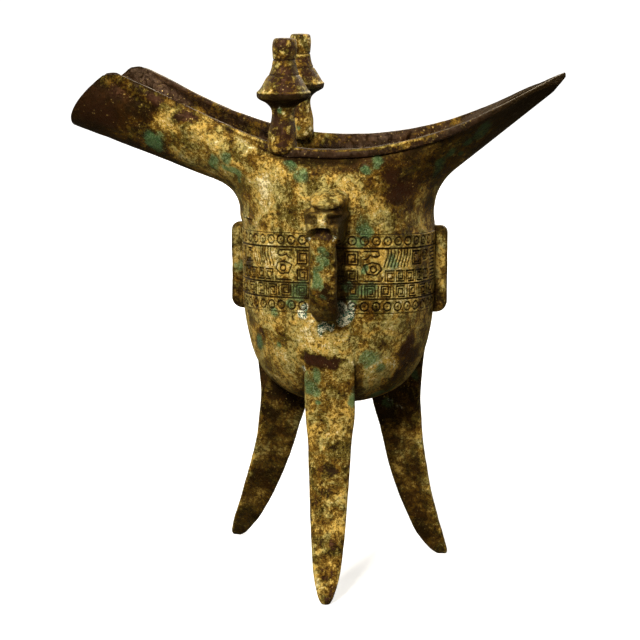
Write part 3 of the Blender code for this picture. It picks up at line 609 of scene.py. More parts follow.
def rim_points(angles):
    """Where each column meets the rim: the foot of the lip, and the lip's outer top edge."""
    turn = turn_of(angles)
    side = np.sign(np.round(np.sin(angles), 6))
    tail_x = RIM[-1][0] * np.cos(np.radians(turn))
    along = np.clip((turn - 90.0) / (SPOUT_START_ANGLE - 90.0), 0.0, 1.0)
    spout_x = RIM[0][0] * (0.9 * along + 0.1 * along ** 3)
    x = np.where(turn < 90.0, tail_x, spout_x)
    width = through(RIM, 1, x)
    z = through(RIM, 2, x)
    share = flare_share(x)
    low_width = np.maximum(width - LIP_PROUD * share, NARROWEST * width)
    low_x = x - 0.6 * LIP_PROUD * np.clip(np.cos(angles), 0.0, 1.0) ** 8
    keel = KEEL_DEPTH * np.clip(np.cos(angles), 0.0, 1.0) ** 16
    low = np.column_stack((low_x, side * low_width, z - LIP_HEIGHT * share - keel))
    top = np.column_stack((x, side * width, z))
    around = np.clip((180.0 - turn) / (180.0 - SPOUT_START_ANGLE), 0.0, 1.0) * math.pi / 2.0
    lift = 1.0 - np.cos(around)
    end_x = SPOUT_END_X + (RIM[0][0] - SPOUT_END_X) * lift ** SPOUT_END_LEAN
    end_y = side * RIM[0][1] * np.sin(around)
    end_z = SPOUT_END_Z + (RIM[0][2] - SPOUT_END_Z) * lift
    at_end = turn > SPOUT_START_ANGLE
    foot = top.copy()
    foot[:, 2] = np.minimum(low[:, 2], z - LIP_HEIGHT * lip_share(x) - keel) + LIP_UNDERCUT
    top[at_end] = np.column_stack((end_x, end_y, end_z))[at_end]
    low[at_end] = top[at_end] + np.array(SPOUT_SLOPE) * LIP_UNDERCUT * 2.0
    foot[at_end] = top[at_end] + np.array(SPOUT_SLOPE) * LIP_UNDERCUT
    return low, foot, top


def waist(x):
    """How much narrower the gutter is at x than a straight one."""
    share = np.clip((x - SPOUT_WAIST_START) / (RIM[0][0] - SPOUT_WAIST_START), 0.0, 1.0)
    return 1.0 - SPOUT_WAIST * 4.0 * share * (1.0 - share)


def flare_rows(angles, bend_steps, run_steps):
    """Rows from the neck to the foot of the lip: an arc outwards, then nearly straight."""
    low, foot, top = rim_points(angles)
    outward = np.cos(angles)
    tailwards = np.clip(outward, 0.0, 1.0) ** 1.5
    spoutwards = np.clip(-outward, 0.0, 1.0) ** 1.5
    bend_height = (
        BEND_HEIGHT_SIDE
        + (BEND_HEIGHT_TAIL - BEND_HEIGHT_SIDE) * tailwards
        + (BEND_HEIGHT_SPOUT - BEND_HEIGHT_SIDE) * spoutwards
    )
    radius = neck_radius(angles)
    corner = np.column_stack((radius * outward, radius * np.sin(angles), bend_height))
    run = low - corner
    length = np.linalg.norm(run, axis=1)
    wanted = BEND_REACH_TAIL * tailwards + BEND_REACH_SPOUT * spoutwards + 0.004
    reach = np.minimum(np.minimum(wanted, 0.8 * length), bend_height - NECK_HEIGHT)
    start = corner - reach[:, None] * np.array((0.0, 0.0, 1.0))
    end = corner + run * (reach / length)[:, None]
    rows = []
    for step in range(0, bend_steps + 1):
        t = step / bend_steps
        rows.append(start * (1 - t) ** 2 + 2 * corner * t * (1 - t) + end * t * t)
    for step in range(1, run_steps):
        t = step / run_steps
        row = end + (low - end) * t
        straight = waist(end[:, 0]) * (1.0 - t) + waist(low[:, 0]) * t
        row[:, 1] *= waist(row[:, 0]) / straight
        rows.append(row)
    rows.append(low)
    return rows, foot, top


def column_angles(count):
    """Directions of the columns, closer at the tip of the tail and at the spout's corners."""
    even = np.linspace(0.0, 180.0, 2001)
    density = (
        1.0
        + 2.5 * np.exp(-(even / 7.0) ** 2)
        + 2.2 * np.exp(-((even - SPOUT_START_ANGLE) / 6.0) ** 2)
        + 0.8 * (even > 120.0)
    )
    total = np.concatenate(((0.0,), np.cumsum((density[1:] + density[:-1]) / 2.0)))
    half = np.interp(np.linspace(0.0, total[-1], count + 1), total, even)
    nearest = int(np.argmin(np.abs(half - SPOUT_START_ANGLE)))
    half[nearest] = SPOUT_START_ANGLE
    return np.radians(np.concatenate((half, -half[-2:0:-1])))


def inner_skin(grid, angles):
    """The inside of the wall, one wall thickness in from the outer skin."""
    normal = grid_normals(grid)
    turn = turn_of(angles)
    own = smoothstep((turn - TIP_ANGLE) / TIP_ANGLE)[None, :, None]
    upper = (grid[:, :1, 2] > NECK_HEIGHT)[:, :, None]
    normal = np.where(upper, normal * own + normal[:, :1] * (1.0 - own), normal)
    normal /= np.linalg.norm(normal, axis=2, keepdims=True)
    inner = grid - WALL * normal
    narrowest = NARROWEST * np.abs(grid[:, :, 1])
    inner[:, :, 1] = np.sign(grid[:, :, 1]) * np.maximum(np.abs(inner[:, :, 1]), narrowest)
    inner[:, np.abs(np.sin(angles)) < 1e-6, 1] = 0.0
    return inner


def spout_end_x(z):
    """Where the open end of the gutter stands at a height."""
    lift = np.clip((z - SPOUT_END_Z) / (RIM[0][2] - SPOUT_END_Z), 0.0, 1.0)
    return SPOUT_END_X + (RIM[0][0] - SPOUT_END_X) * lift ** SPOUT_END_LEAN


def rounded_profile(corners, radius, steps):
    """Rows along a line of corners, with each inner corner rounded."""
    rows = [corners[0]]
    for before, here, after in zip(corners[:-2], corners[1:-1], corners[2:]):
        back = before - here
        ahead = after - here
        back_length = np.maximum(np.linalg.norm(back, axis=1), 1e-9)
        ahead_length = np.maximum(np.linalg.norm(ahead, axis=1), 1e-9)
        cut_back = np.minimum(radius, 0.45 * back_length) / back_length
        cut_ahead = np.minimum(radius, 0.45 * ahead_length) / ahead_length
        start = here + back * cut_back[:, None]
        end = here + ahead * cut_ahead[:, None]
        for step in range(steps + 1):
            t = step / steps
            rows.append(start * (1 - t) ** 2 + 2 * here * t * (1 - t) + end * t * t)
    rows.append(corners[-1])
    return rows


def wall_grid(angles):
    """Rows up the outside, over the lip and down the inside; how many lie outside, and on the lip."""
    turn = turn_of(angles)
    neck = [circle_row(height, angles) for height in np.linspace(BAND_TOP, NECK_HEIGHT, 10)]
    upper, foot, top = flare_rows(angles, 18, 46)
    outer = np.array(neck + upper)
    radii = CUP_RADIUS * np.sin(np.linspace(0.0, math.radians(84.0), 26)[1:])
    lower = [circle_row(height, angles) for height in egg_height(radii)]
    straight = [circle_row(height, angles) for height in np.linspace(0.0985, 0.1245, 12)]
    inner = inner_skin(np.array(lower + straight + neck + upper), angles)
    # The inner edge of the wall's top: level with the rim, or in the spout's open end
    edge = inner[-1].copy()
    at_end = smoothstep((turn - SPOUT_START_ANGLE + 0.5) / 1.0)
    rim_z = through(RIM, 2, edge[:, 0])
    end_x = spout_end_x(edge[:, 2])
    edge[:, 2] = edge[:, 2] * at_end + rim_z * (1.0 - at_end)
    edge[:, 0] = end_x * at_end + edge[:, 0] * (1.0 - at_end)
    lip = np.array(rounded_profile([outer[-1], foot, top, edge, inner[-1]], LIP_EDGE, 4)[1:-1])
    grid = np.concatenate((outer, lip, inner[::-1]), axis=0)
    calm = np.ones(len(grid))
    calm[:3] = 0.0
    near_tip = smoothstep(turn / 8.0)[None, :]
    grid = grid + grid_normals(grid) * (rough_on(grid) * calm[:, None] * near_tip - SKIN_SUNK)[:, :, None]
    grid[0] = outer[0]
    # The tail ends in a thin, rounded tip
    behind = RIM[-1][0] - grid[:, :, 0]
    low_line = RIM[-1][2] - TAIL_TIP_DEPTH - TAIL_TIP_SLOPE * behind
    grid[:, :, 2] = np.where(behind < TAIL_TIP_LENGTH, np.maximum(grid[:, :, 2], low_line), grid[:, :, 2])
    above = np.clip((grid[:, :, 2] - RIM[-1][2] + TAIL_ROUND) / TAIL_ROUND, 0.0, 1.0)
    end = RIM[-1][0] - TAIL_ROUND * (1.0 - np.sqrt(1.0 - above ** 2))
    grid[:, :, 0] = np.minimum(grid[:, :, 0], end)
    return grid, len(outer), len(lip)


def make_flare(material):
    """Neck, spout, tail and lip outside, and the whole inside of the vessel."""
    angles = column_angles(200)
    grid, outer, lip = wall_grid(angles)
    rows, columns = grid.shape[:2]
    x = grid[:, :, 0]
    z = grid[:, :, 2]
    points = np.vstack((grid.reshape(-1, 3), (0.0, 0.0, CUP_BOTTOM + WALL)))
    last = (rows - 1) * columns
    faces = list(grid_faces(rows, columns))
    faces += [(last + j, last + (j + 1) % columns, rows * columns) for j in range(columns)]
    # The flat top of the wall is as bare as the lip, along the spout as well
    on_lip, inside, wear, shade_and_dirt = np.zeros((4, rows, columns))
    span = slice(outer - 1, outer + lip)
    on_lip[span] = np.minimum(lip_share(x[span]), 1.0) * (turn_of(angles) < SPOUT_START_ANGLE)
    on_lip[outer + 5:outer + lip] = 1.0
    inside[outer + lip:] = 1.0
    # The lip's outer top corner is rubbed bright, least at the tail and the spout; it also carries a painted
    # highlight where the edge catches the light
    wear[outer + 6:outer + 8] = 1.0
    wear *= smoothstep((0.050 - x) / 0.035) * smoothstep((x + 0.060) / 0.030)
    # The tail and the end of the spout have lost most of their crust
    bare = np.maximum(1.15 * smoothstep((x - 0.030) / 0.034), 0.85 * smoothstep((-0.045 - x) / 0.030))
    # Painted shade under the lip, and darker on the tail and on the end of the spout, but not over the green
    shade_and_dirt[:outer] = 0.75 * smoothstep(1.0 - (z[outer - 1] - z[:outer]) / 0.0075) * (on_lip[outer] > 0.5)
    shade_and_dirt = np.maximum(shade_and_dirt, 0.95 * smoothstep((x - 0.040) / 0.028))
    shade_and_dirt = np.maximum(shade_and_dirt, 0.45 * smoothstep((-0.066 - x) / 0.025))
    shade_and_dirt *= 1.0 - 0.75 * tint(points[:-1])["green"].reshape(rows, columns)
    return make_piece("vessel_flare_and_inside", points, faces, material, groove=shade_and_dirt, lip=on_lip,
                      inside=np.append(inside, 1.0), wear=wear, bare=bare)


def make_cup_bottom(material):
    """The egg-shaped outside below the band."""
    angles = np.linspace(0.0, 2.0 * math.pi, 361)[:-1]
    radii = CUP_RADIUS * np.sin(np.linspace(0.0, 1.0, 60)[1:] * math.asin(1.0 - 0.0095))
    heights = [height for height in egg_height(radii) if height < BAND_BOTTOM - 0.0008]
    heights += [BAND_BOTTOM - 0.0004, BAND_BOTTOM, BAND_BOTTOM + 0.0003]
    grid = np.array([circle_row(height, angles) for height in heights])
    rough = rough_on(grid) + crust_height(grid.reshape(-1, 3)).reshape(grid.shape[:2])
    rough[-1] = -0.0004
    grid = grid + grid_normals(grid) * rough[:, :, None]
    rows, columns = grid.shape[:2]
    points = np.vstack((grid.reshape(-1, 3), (0.0, 0.0, CUP_BOTTOM)))
    faces = list(grid_faces(rows, columns))
    faces += [((j + 1) % columns, j, rows * columns) for j in range(columns)]
    # Painted shade on the cup beside each leg's root
    shade_and_dirt = 0.75 * np.maximum.reduce([beside_leg(points, root_angle) for _, root_angle, _, _ in LEGS])
    return make_piece("cup_bottom", points, faces, material, groove=shade_and_dirt)


def beside_leg(points, degrees):
    """1 against a leg's root, falling to 0 a few millimetres away."""
    angle = math.radians(degrees)
    along = points[:, 0] * math.cos(angle) + points[:, 1] * math.sin(angle)
    aside = np.abs(points[:, 1] * math.cos(angle) - points[:, 0] * math.sin(angle))
    width = LEG_SECTIONS[-1][1] / 2.0
    low = smoothstep((0.0860 - points[:, 2]) / 0.0060)
    near = smoothstep((width + 0.0035 - aside) / 0.0035) * smoothstep((aside - width + 0.0040) / 0.0030)
    return near * smoothstep((along - 0.010) / 0.004) * low


def crust_height(points):
    """Lumpy corrosion around the foot of the strap."""
    height = np.zeros(len(points))
    for x, y, z, radius in np.array(PATCHES["teal"]) / PER_METRE:
        away = np.linalg.norm(points - np.array((x, y, z)), axis=1) / radius
        height = np.maximum(height, smoothstep(1.35 - away))
    coarse = np.abs(lumps(points, 0.0011, 21))
    fine = lumps(points, 0.0005, 22)
    return height * (0.00030 + 0.00045 * coarse + 0.00015 * fine)


# The relief band

def square_spiral(size, turns, step):
    """A square spiral from its outer end inwards."""
    half = size / 2.0
    line = [(-half, -half)]
    left, right, low, high = -half, half, -half, half
    for _ in range(turns):
        line.append((left, high))
        line.append((right, high))
        line.append((right, low))
        left += step
        line.append((left, low))
        high -= step
        right -= step
        low += step
    return line


def ring_line(radius, sides=20):
    """A circle as a closed line."""
    return [(radius * math.cos(2 * math.pi * k / sides), radius * math.sin(2 * math.pi * k / sides))
            for k in range(sides + 1)]


def placed(line, u, v, flip=1.0, turned=False):
    """A motif's line moved to its place, mirrored or turned upside down where asked."""
    up = -1.0 if turned else 1.0
    return [(u + flip * up * a, v + up * b) for a, b in line]


def away_from_fittings(angle, margin):
    """Whether a motif at this direction clears the ribs and the handle."""
    places = list(RIB_ANGLES) + [-90.0]
    halves = [RIB_THICKNESS / 2.0] * len(RIB_ANGLES) + [STRAP_WIDTH / 2.0 - 0.001]
    for place, half in zip(places, halves):
        apart = abs((angle - place + 180.0) % 360.0 - 180.0)
        if math.radians(apart) * CUP_RADIUS < half + margin:
            return False
    return True


def band_lines():
    """Every engraved line of the band, in metres round and up."""
    lines = []
    for row in ((BAND_BOTTOM + BAND_LOWER_LINE) / 2.0, (BAND_UPPER_LINE + BAND_TOP) / 2.0):
        for i in range(RINGS_AROUND):
            turn = 360.0 * (i + 0.5) / RINGS_AROUND
            if away_from_fittings(turn, RING_RADIUS):
                u = math.radians(turn) * CUP_RADIUS
                lines.append(placed(ring_line(RING_RADIUS), u, row))
                lines.append([(u - 0.00005, row), (u + 0.00005, row)])
    row = (BAND_LOWER_LINE + BAND_MIDDLE_LINE) / 2.0
    for i in range(SPIRALS_AROUND):
        turn = 360.0 * (i + 0.5) / SPIRALS_AROUND
        if away_from_fittings(turn, 0.0019):
            u = math.radians(turn) * CUP_RADIUS
            lines.append(placed(square_spiral(SPIRAL_SIZE, 2, SPIRAL_STEP), u, row, 1.0, i % 2 == 0))
            edge = u + math.radians(180.0 / SPIRALS_AROUND) * CUP_RADIUS
            lines.append([(edge, row - SPIRAL_SIZE / 2.0), (edge, row + SPIRAL_SIZE / 2.0)])
    for centre in (-90.0, 90.0):
        lines += half_mask(centre, -1.0) + half_mask(centre, 1.0)
    return lines


def half_mask(centre, side):
    """Half a beast mask: curls, an eye in its frame, plumes over squares, and bars beside the rib."""
    upper = (MASK_SPLIT + BAND_UPPER_LINE) / 2.0
    rows = {"split": MASK_SPLIT, "upper": upper, "lower": (MASK_SPLIT + BAND_MIDDLE_LINE) / 2.0}

    def place(angle):
        return math.radians(centre + side * angle) * CUP_RADIUS

    lines = [placed(square_spiral(size, turns, step), place(angle), rows[row], side, turned)
             for angle, size, turns, step, row, turned in MASK_SPIRALS]
    lines += [placed(ring_line(radius), place(angle), rows[row] + up)
              for angle, radius, row, up in MASK_RINGS]
    lines += [placed(frame_line, place(MASK_EYE_ANGLE), rows[row], side) for row, frame_line in MASK_FRAME]
    for k in range(MASK_PLUMES):
        u = place(PLUME_ANGLES[0] + PLUME_ANGLES[1] * k)
        line = []
        for t in np.linspace(0.0, 1.0, 7):
            bend = t * t * (3 - 2 * t) * 1.6 - 0.5 + 0.4 * math.sin(math.pi * t)
            line.append((u + side * PLUME_SWAY * bend, upper - PLUME_HEIGHT / 2.0 + PLUME_HEIGHT * t))
        lines.append(line)
    for k in range(MASK_BARS):
        v = BAND_MIDDLE_LINE + BAR_HEIGHTS[0] + BAR_HEIGHTS[1] * k
        lines.append([(place(angle), v) for angle in BAR_ANGLES])
    return lines


def engrave(u, v, lines):
    """0 on the plain ground to 1 in the bottom of a groove, for a grid of places on the band."""
    around = 2.0 * math.pi * CUP_RADIUS
    reach = GROOVE_HALF + GROOVE_EDGE
    depth = np.zeros(u.shape)
    columns = u[0]
    rows = v[:, 0]
    for line in lines:
        marks = np.array(line)
        for shift in (-around, 0.0, around):
            moved = marks + (shift, 0.0)
            low_u, low_v = moved.min(axis=0) - reach
            high_u, high_v = moved.max(axis=0) + reach
            j0, j1 = np.searchsorted(columns, (low_u, high_u))
            i0, i1 = np.searchsorted(rows, (low_v, high_v))
            if j1 <= j0 or i1 <= i0:
                continue
            window = (slice(i0, i1), slice(j0, j1))
            distance = polyline_distance(u[window], v[window], [tuple(pair) for pair in moved])
            depth[window] = np.maximum(depth[window], smoothstep((reach - distance) / GROOVE_EDGE))
    for line in (BAND_BOTTOM, BAND_LOWER_LINE, BAND_MIDDLE_LINE, BAND_UPPER_LINE, BAND_TOP):
        distance = np.abs(v - line)
        depth = np.maximum(depth, smoothstep((GROOVE_HALF * 1.25 + GROOVE_EDGE - distance) / GROOVE_EDGE))
    return depth


def make_band(name, start, stop, columns, rows, lines, material):
    """One half of the relief band, from one rib to the next but one."""
    angles = np.radians(np.linspace(start, stop, columns))
    heights = np.linspace(BAND_BOTTOM - 0.0006, BAND_TOP + 0.0006, rows)
    u, v = np.meshgrid(angles * CUP_RADIUS, heights)
    angle, height = np.meshgrid(angles, heights)
    groove = engrave(u, v, lines)
    z = bowed(height, angle)
    base = cup_radius(z, angle)
    flat = np.stack((base * np.cos(angle), base * np.sin(angle), z), -1)
    points = flat.reshape(-1, 3)
    worn = 0.80 + 0.30 * lumps(points, 0.0060, 41).reshape(groove.shape)
    plate = smoothstep((v - BAND_BOTTOM) / 0.0006) * smoothstep((BAND_TOP - v) / 0.0006)
    lift = PLATE_PROUD * plate - GROOVE_DEPTH * groove * np.clip(worn, 0.4, 1.0)
    lift += rough_skin(points).reshape(groove.shape)
    lift += 0.00003 * lumps(points, 0.0006, 42).reshape(groove.shape)
    lift += crust_height(points).reshape(groove.shape)
    # The free edges go into the wall
    edge = np.minimum(smoothstep((v - heights[0]) / 0.0004), smoothstep((heights[-1] - v) / 0.0004))
    lift = lift * edge - 0.0004 * (1.0 - edge)
    radius = base + lift
    grid = np.stack((radius * np.cos(angle), radius * np.sin(angle), z), -1)
    # Painted shade, and dirt, on the band behind the strap, and painted shade beside the ribs
    beside = np.abs(u + math.radians(90.0) * CUP_RADIUS)
    behind = 0.8 * smoothstep((STRAP_WIDTH / 2.0 + 0.0024 - beside) / 0.0024)
    for degrees in RIB_ANGLES:
        apart = np.abs((np.degrees(angle) - degrees + 180.0) % 360.0 - 180.0)
        aside = np.radians(apart) * CUP_RADIUS - RIB_THICKNESS / 2.0
        behind = np.maximum(behind, 0.8 * smoothstep(1.0 - aside / 0.0022))
    return make_piece(name, grid.reshape(-1, 3), grid_faces(rows, columns, wrap=False), material,
                      groove=np.maximum(groove, behind))


# Fittings

def closed_loft(name, grid, material, **shares):
    """A closed piece through rings of points, with its ends closed by a fan."""
    grid = grid + grid_normals(grid) * rough_on(grid)[:, :, None]
    rows, columns = grid.shape[:2]
    points = np.vstack((grid.reshape(-1, 3), grid[0].mean(axis=0), grid[-1].mean(axis=0)))
    shares = {kind: np.broadcast_to(share, (rows, columns)) for kind, share in shares.items()}
    return make_piece(name, points, closed_faces(rows, columns), material, **shares)


def rounded_outline(corners, count, cut=0.3):
    """An even closed outline of count points through softened corners."""
    line = np.array(corners, float)
    for _ in range(3):
        after = np.roll(line, -1, axis=0)
        line = np.stack((line * (1 - cut) + after * cut, line * cut + after * (1 - cut)), 1)
        line = line.reshape(-1, 2)
        cut = 0.25
    closed = np.vstack((line, line[:1]))
    length = np.concatenate(((0.0,), np.cumsum(np.linalg.norm(np.diff(closed, axis=0), axis=1))))
    at = np.linspace(0.0, length[-1], count + 1)[:-1]
    return np.column_stack((np.interp(at, length, closed[:, 0]), np.interp(at, length, closed[:, 1])))


def make_leg(name, root_angle, foot_angle, foot_reach, material):
    """A curved blade: a broad outer face with softened edges, hollow flanks and a ridge towards the axis."""
    outline = rounded_outline(
        ((-0.06, -0.42), (-0.17, -0.52), (-0.50, -0.24), (-0.88, -0.10), (-1.02, 0.0),
         (-0.88, 0.10), (-0.50, 0.24), (-0.17, 0.52), (-0.06, 0.42), (0.0, 0.22), (0.02, 0.0), (0.0, -0.22)),
        80, cut=0.16)
    heights = np.concatenate((np.linspace(0.0, 0.002, 13), np.linspace(0.002, LEG_MERGE_TO, 160)[1:]))
    rings = []
    for height in heights:
        share = max(1.0 - height / LEG_SWEEP_TOP, 0.0) ** LEG_SWEEP_POWER
        merge = max(height - LEG_MERGE_FROM, 0.0) / (LEG_MERGE_TO - LEG_MERGE_FROM)
        reach = LEG_ROOT_REACH + (foot_reach - LEG_ROOT_REACH) * share + LEG_MERGE_REACH * merge ** 1.3
        angle = math.radians(root_angle + (foot_angle - root_angle) * share)
        out = np.array((math.cos(angle), math.sin(angle), 0.0))
        side = np.array((-math.sin(angle), math.cos(angle), 0.0))
        width = float(through(LEG_SECTIONS, 1, np.array(height)))
        depth = float(through(LEG_SECTIONS, 2, np.array(height)))
        # The foot is rounded off
        low = max(1.0 - height / LEG_TIP_ROUND, 0.0)
        shape = LEG_TIP_CENTRE + (outline - LEG_TIP_CENTRE) * (0.50 + 0.50 * math.sqrt(1.0 - low ** 2))
        ring = out * reach + np.array((0.0, 0.0, height))
        rings.append(ring + shape[:, :1] * depth * out + shape[:, 1:] * width * side)
    grid = np.array(rings)
    # What would reach through the cup's wall is folded up into it
    radius = np.linalg.norm(grid[:, :, :2], axis=2)
    ceiling = egg_height(np.minimum(radius, CUP_RADIUS * 0.999)) + WALL * 0.5
    grid[:, :, 2] = np.minimum(grid[:, :, 2], ceiling)
    # Painted shade in the hollow flanks, and round the roots of the back legs
    flank = 0.55 * smoothstep((-outline[:, 0] - 0.16) / 0.20)[None, :] * np.ones((len(heights), 1))
    root = 0.6 * smoothstep((heights - 0.060) / 0.012)[:, None] * (np.sin(math.radians(root_angle)) > 0.0)
    bare = LEG_BARE[int(math.sin(math.radians(root_angle)) > 0.0)]
    return closed_loft(name, grid, material, groove=np.maximum(flank, root), bare=bare)


def rib_edge():
    """An even line of (reach, height) round the rib's edge, its outward directions, and its middle."""
    inside = CUP_RADIUS - WALL * ROOT_IN_WALL
    corners = ((RIB_TOP - RIB_CORNER_TOP, RIB_CORNER_TOP, 90.0, 0.0),
               (RIB_BOTTOM + RIB_CORNER_BOTTOM, RIB_CORNER_BOTTOM, 0.0, -90.0))
    path = [(inside, RIB_TOP)]
    for centre_z, corner, first, last in corners:
        for turn in np.radians(np.linspace(first, last, 9)):
            path.append((RIB_REACH - corner + corner * math.cos(turn), centre_z + corner * math.sin(turn)))
    path.append((inside, RIB_BOTTOM))
    path = np.array(path)
    length = np.concatenate(((0.0,), np.cumsum(np.linalg.norm(np.diff(path, axis=0), axis=1))))
    at = np.linspace(0.0, length[-1], 150)
    edge = np.column_stack((np.interp(at, length, path[:, 0]), np.interp(at, length, path[:, 1])))
    along = np.gradient(edge, axis=0)
    along /= np.linalg.norm(along, axis=1, keepdims=True)
    outwards = np.column_stack((-along[:, 1], along[:, 0]))
    middle = np.array((inside, (RIB_TOP + RIB_BOTTOM) / 2.0))
    outwards *= np.sign((outwards * (edge - middle)).sum(1))[:, None]
    return edge, outwards, middle


def rib_stations():
    """Across the thickness: out over one side face, over the rounded edge, and back over the other face.

    Each is its place across, its share of the way from the middle to the edge, and how far it lies outside.
    """
    half = RIB_THICKNESS / 2.0
    turns = np.radians(np.linspace(0.0, 90.0, 6))
    bevels = [(RIB_BEVEL * (1 - math.cos(turn)), -RIB_BEVEL * (1 - math.sin(turn))) for turn in turns]
    stations = [(-half, share, 0.0) for share in (0.0, 0.4, 0.8)]
    stations += [(-half + across, 1.0, out) for across, out in bevels]
    stations += [(across, 1.0, 0.0) for across in np.linspace(-half + RIB_BEVEL, half - RIB_BEVEL, 8)[1:-1]]
    stations += [(half - across, 1.0, out) for across, out in bevels[::-1]]
    return stations + [(half, share, 0.0) for share in (0.8, 0.4, 0.0)]


def make_rib(name, degrees, material):
    """An upright rib with rounded corners and edges."""
    edge, outwards, middle = rib_edge()
    angle = math.radians(degrees)
    out = np.array((math.cos(angle), math.sin(angle), 0.0))
    side = np.array((-math.sin(angle), math.cos(angle), 0.0))
    up = np.array((0.0, 0.0, 1.0))
    stations = rib_stations()
    rings = []
    for across, share, outside in stations:
        reach = middle + (edge - middle) * share + outwards * outside
        rings.append(out * reach[:, :1] + side * across + up * reach[:, 1:])
    grid = np.array(rings)
    normal = grid_normals(grid, wrap=False)
    centre = out * (CUP_RADIUS * 0.9) + up * middle[1]
    facing = np.sign(np.sum(np.sign((normal * (grid - centre)).sum(2)))) or 1.0
    grid = grid + normal * facing * (rough_on(grid) - RIB_SUNK)[:, :, None]
    rows, columns = grid.shape[:2]
    faces = grid_faces(rows, columns, wrap=False)
    if facing < 0:
        faces = faces[:, ::-1]
    # Painted shade along the root and round the outer edge
    reach = grid[:, :, 0] * out[0] + grid[:, :, 1] * out[1]
    root = 0.8 * smoothstep((CUP_RADIUS + 0.0014 - reach) / 0.0010)
    shares = np.array([share for _, share, _ in stations])[:, None]
    rim = 0.75 * smoothstep((shares - 0.70) / 0.25)
    return make_piece(name, grid.reshape(-1, 3), faces, material, groove=np.maximum(root, rim))


def smooth_line(points, count):
    """An even, smooth line through a few points."""
    points = np.array(points, float)
    length = np.concatenate(((0.0,), np.cumsum(np.linalg.norm(np.diff(points, axis=0), axis=1))))
    at = np.linspace(0.0, length[-1], count)
    return np.column_stack([through(np.column_stack((length, points[:, k])), 1, at)
                            for k in range(points.shape[1])])


def make_post(name, x, y, tall, lean, girth, material):
    """A round post with a waisted, bell-shaped cap, standing on the rim."""
    base = float(through(RIM, 2, np.array(x)))
    top = POST_PROFILE[-1][0]
    rise = tall / top
    profile = smooth_line(POST_PROFILE, 230)
    count = 110
    turn = np.linspace(0.0, 2.0 * math.pi, count + 1)[:-1]
    rings = []
    for height, radius in profile:
        short = CAP_TOP_ROUND - (top - height)
        if short > 0.0:
            radius = radius - (CAP_TOP_ROUND - math.sqrt(max(CAP_TOP_ROUND ** 2 - short ** 2, 0.0)))
        for line in CAP_LINES:
            radius -= CAP_LINE_DEPTH * math.exp(-((height - line) / CAP_LINE_HALF) ** 2)
        radius += CAP_LINE_DEPTH * math.exp(-((height - CAP_RIDGE) / CAP_RIDGE_HALF) ** 2)
        z = base + height * (rise if height > 0.0 else 1.0)
        centre = x + lean * max(height, 0.0) / top
        rings.append(np.column_stack((centre + girth * radius * np.cos(turn),
                                      y + girth * radius * np.sin(turn), np.full(count, z))))
    grid = np.array(rings)
    height = profile[:, :1]
    # Painted shade under the cap, dirt in its lines, a worn ridge, and creamy spots of crust
    low, high = CAP_UNDERSIDE
    under = smoothstep((height - low) / 0.0008) * smoothstep((high - height) / 0.0006)
    shade_and_dirt = sum((0.8 * np.exp(-((height - line) / 0.0003) ** 2) for line in CAP_LINES), 0.85 * under)
    ridge = 0.8 * np.exp(-((height - CAP_RIDGE - 0.0003) / 0.00022) ** 2)
    spots = smoothstep((lumps(grid, 0.0017, 41) + 0.4 * lumps(grid, 0.0006, 42) - 0.22) / 0.16)
    return closed_loft(name, grid, material, groove=np.minimum(shade_and_dirt, 1.0),
                       lip=np.maximum(POST_LIP_SHARE, 0.8 * smoothstep((0.0012 - height) / 0.0015)),
                       wear=np.maximum(ridge, 1.1 * spots * (1.0 - under)))


def handle_path():
    """The strap's middle line, from the wall above the band round to the wall below it."""
    reach = HANDLE_REACH - STRAP_THICKNESS / 2.0
    root = NECK_RADIUS - WALL * ROOT_IN_WALL
    drop = reach - CUP_RADIUS
    top = HANDLE_TOP - STRAP_SUNK
    points = [(root, top)]
    for turn in np.radians(np.linspace(90.0, 0.0, 13)):
        points.append((reach - 0.7 * drop + 0.7 * drop * math.cos(turn), top - drop + drop * math.sin(turn)))
    for turn in np.radians(np.linspace(0.0, -90.0, 13)):
        points.append((reach - drop + drop * math.cos(turn), HANDLE_BOTTOM + drop + drop * math.sin(turn)))
    points.append((CUP_RADIUS - WALL * ROOT_IN_WALL, HANDLE_BOTTOM))
    return smooth_line(points, 240)


def make_strap(material):
    """The handle's strap, with a gently rounded outer face."""
    path = handle_path()
    outline = rounded_outline(STRAP_SECTION, 96, cut=0.22)
    across = np.array((1.0, 0.0, 0.0))
    rings = []
    for i, (reach, z) in enumerate(path):
        before = path[max(i - 1, 0)]
        after = path[min(i + 1, len(path) - 1)]
        forward = np.array((0.0, -(after[0] - before[0]), after[1] - before[1]))
        forward /= np.linalg.norm(forward)
        up = np.cross(across, forward)
        centre = np.array((0.0, -reach, z))
        width = STRAP_WIDTH * (0.94 - STRAP_TAPER * smoothstep((z - 0.1190) / 0.0080))
        rings.append(centre + outline[:, :1] * width * across + outline[:, 1:] * STRAP_THICKNESS * up)
    grid = np.array(rings)[:, ::-1]
    shade_and_dirt, mouth = strap_painted_shade(grid)
    return closed_loft("handle_strap", grid, material, groove=shade_and_dirt, lip=mouth, bare=STRAP_BARE)


def strap_painted_shade(grid):
    """Painted shade under the beast's lip, along the edges and at the foot; and what lies in its mouth."""
    aside = np.abs(grid[:, :, 0])
    height = grid[:, :, 2]
    outer = smoothstep((-grid[:, :, 1] - 0.0440) / 0.0010)
    mouth = smoothstep((height - 0.1270) / 0.0008) * outer
    shade = smoothstep((height - 0.1316) / 0.0006) * outer
    corner = mouth * smoothstep((aside - 0.0030) / 0.0008) * smoothstep((height - 0.1284) / 0.0008)
    foot = 0.60 * smoothstep((0.1090 - height) / 0.0080)
    edge = 0.55 * smoothstep((aside - 0.0036) / 0.0010) * (height < 0.1300)
    return np.maximum.reduce([0.9 * shade, 0.9 * corner, foot, edge]), mouth


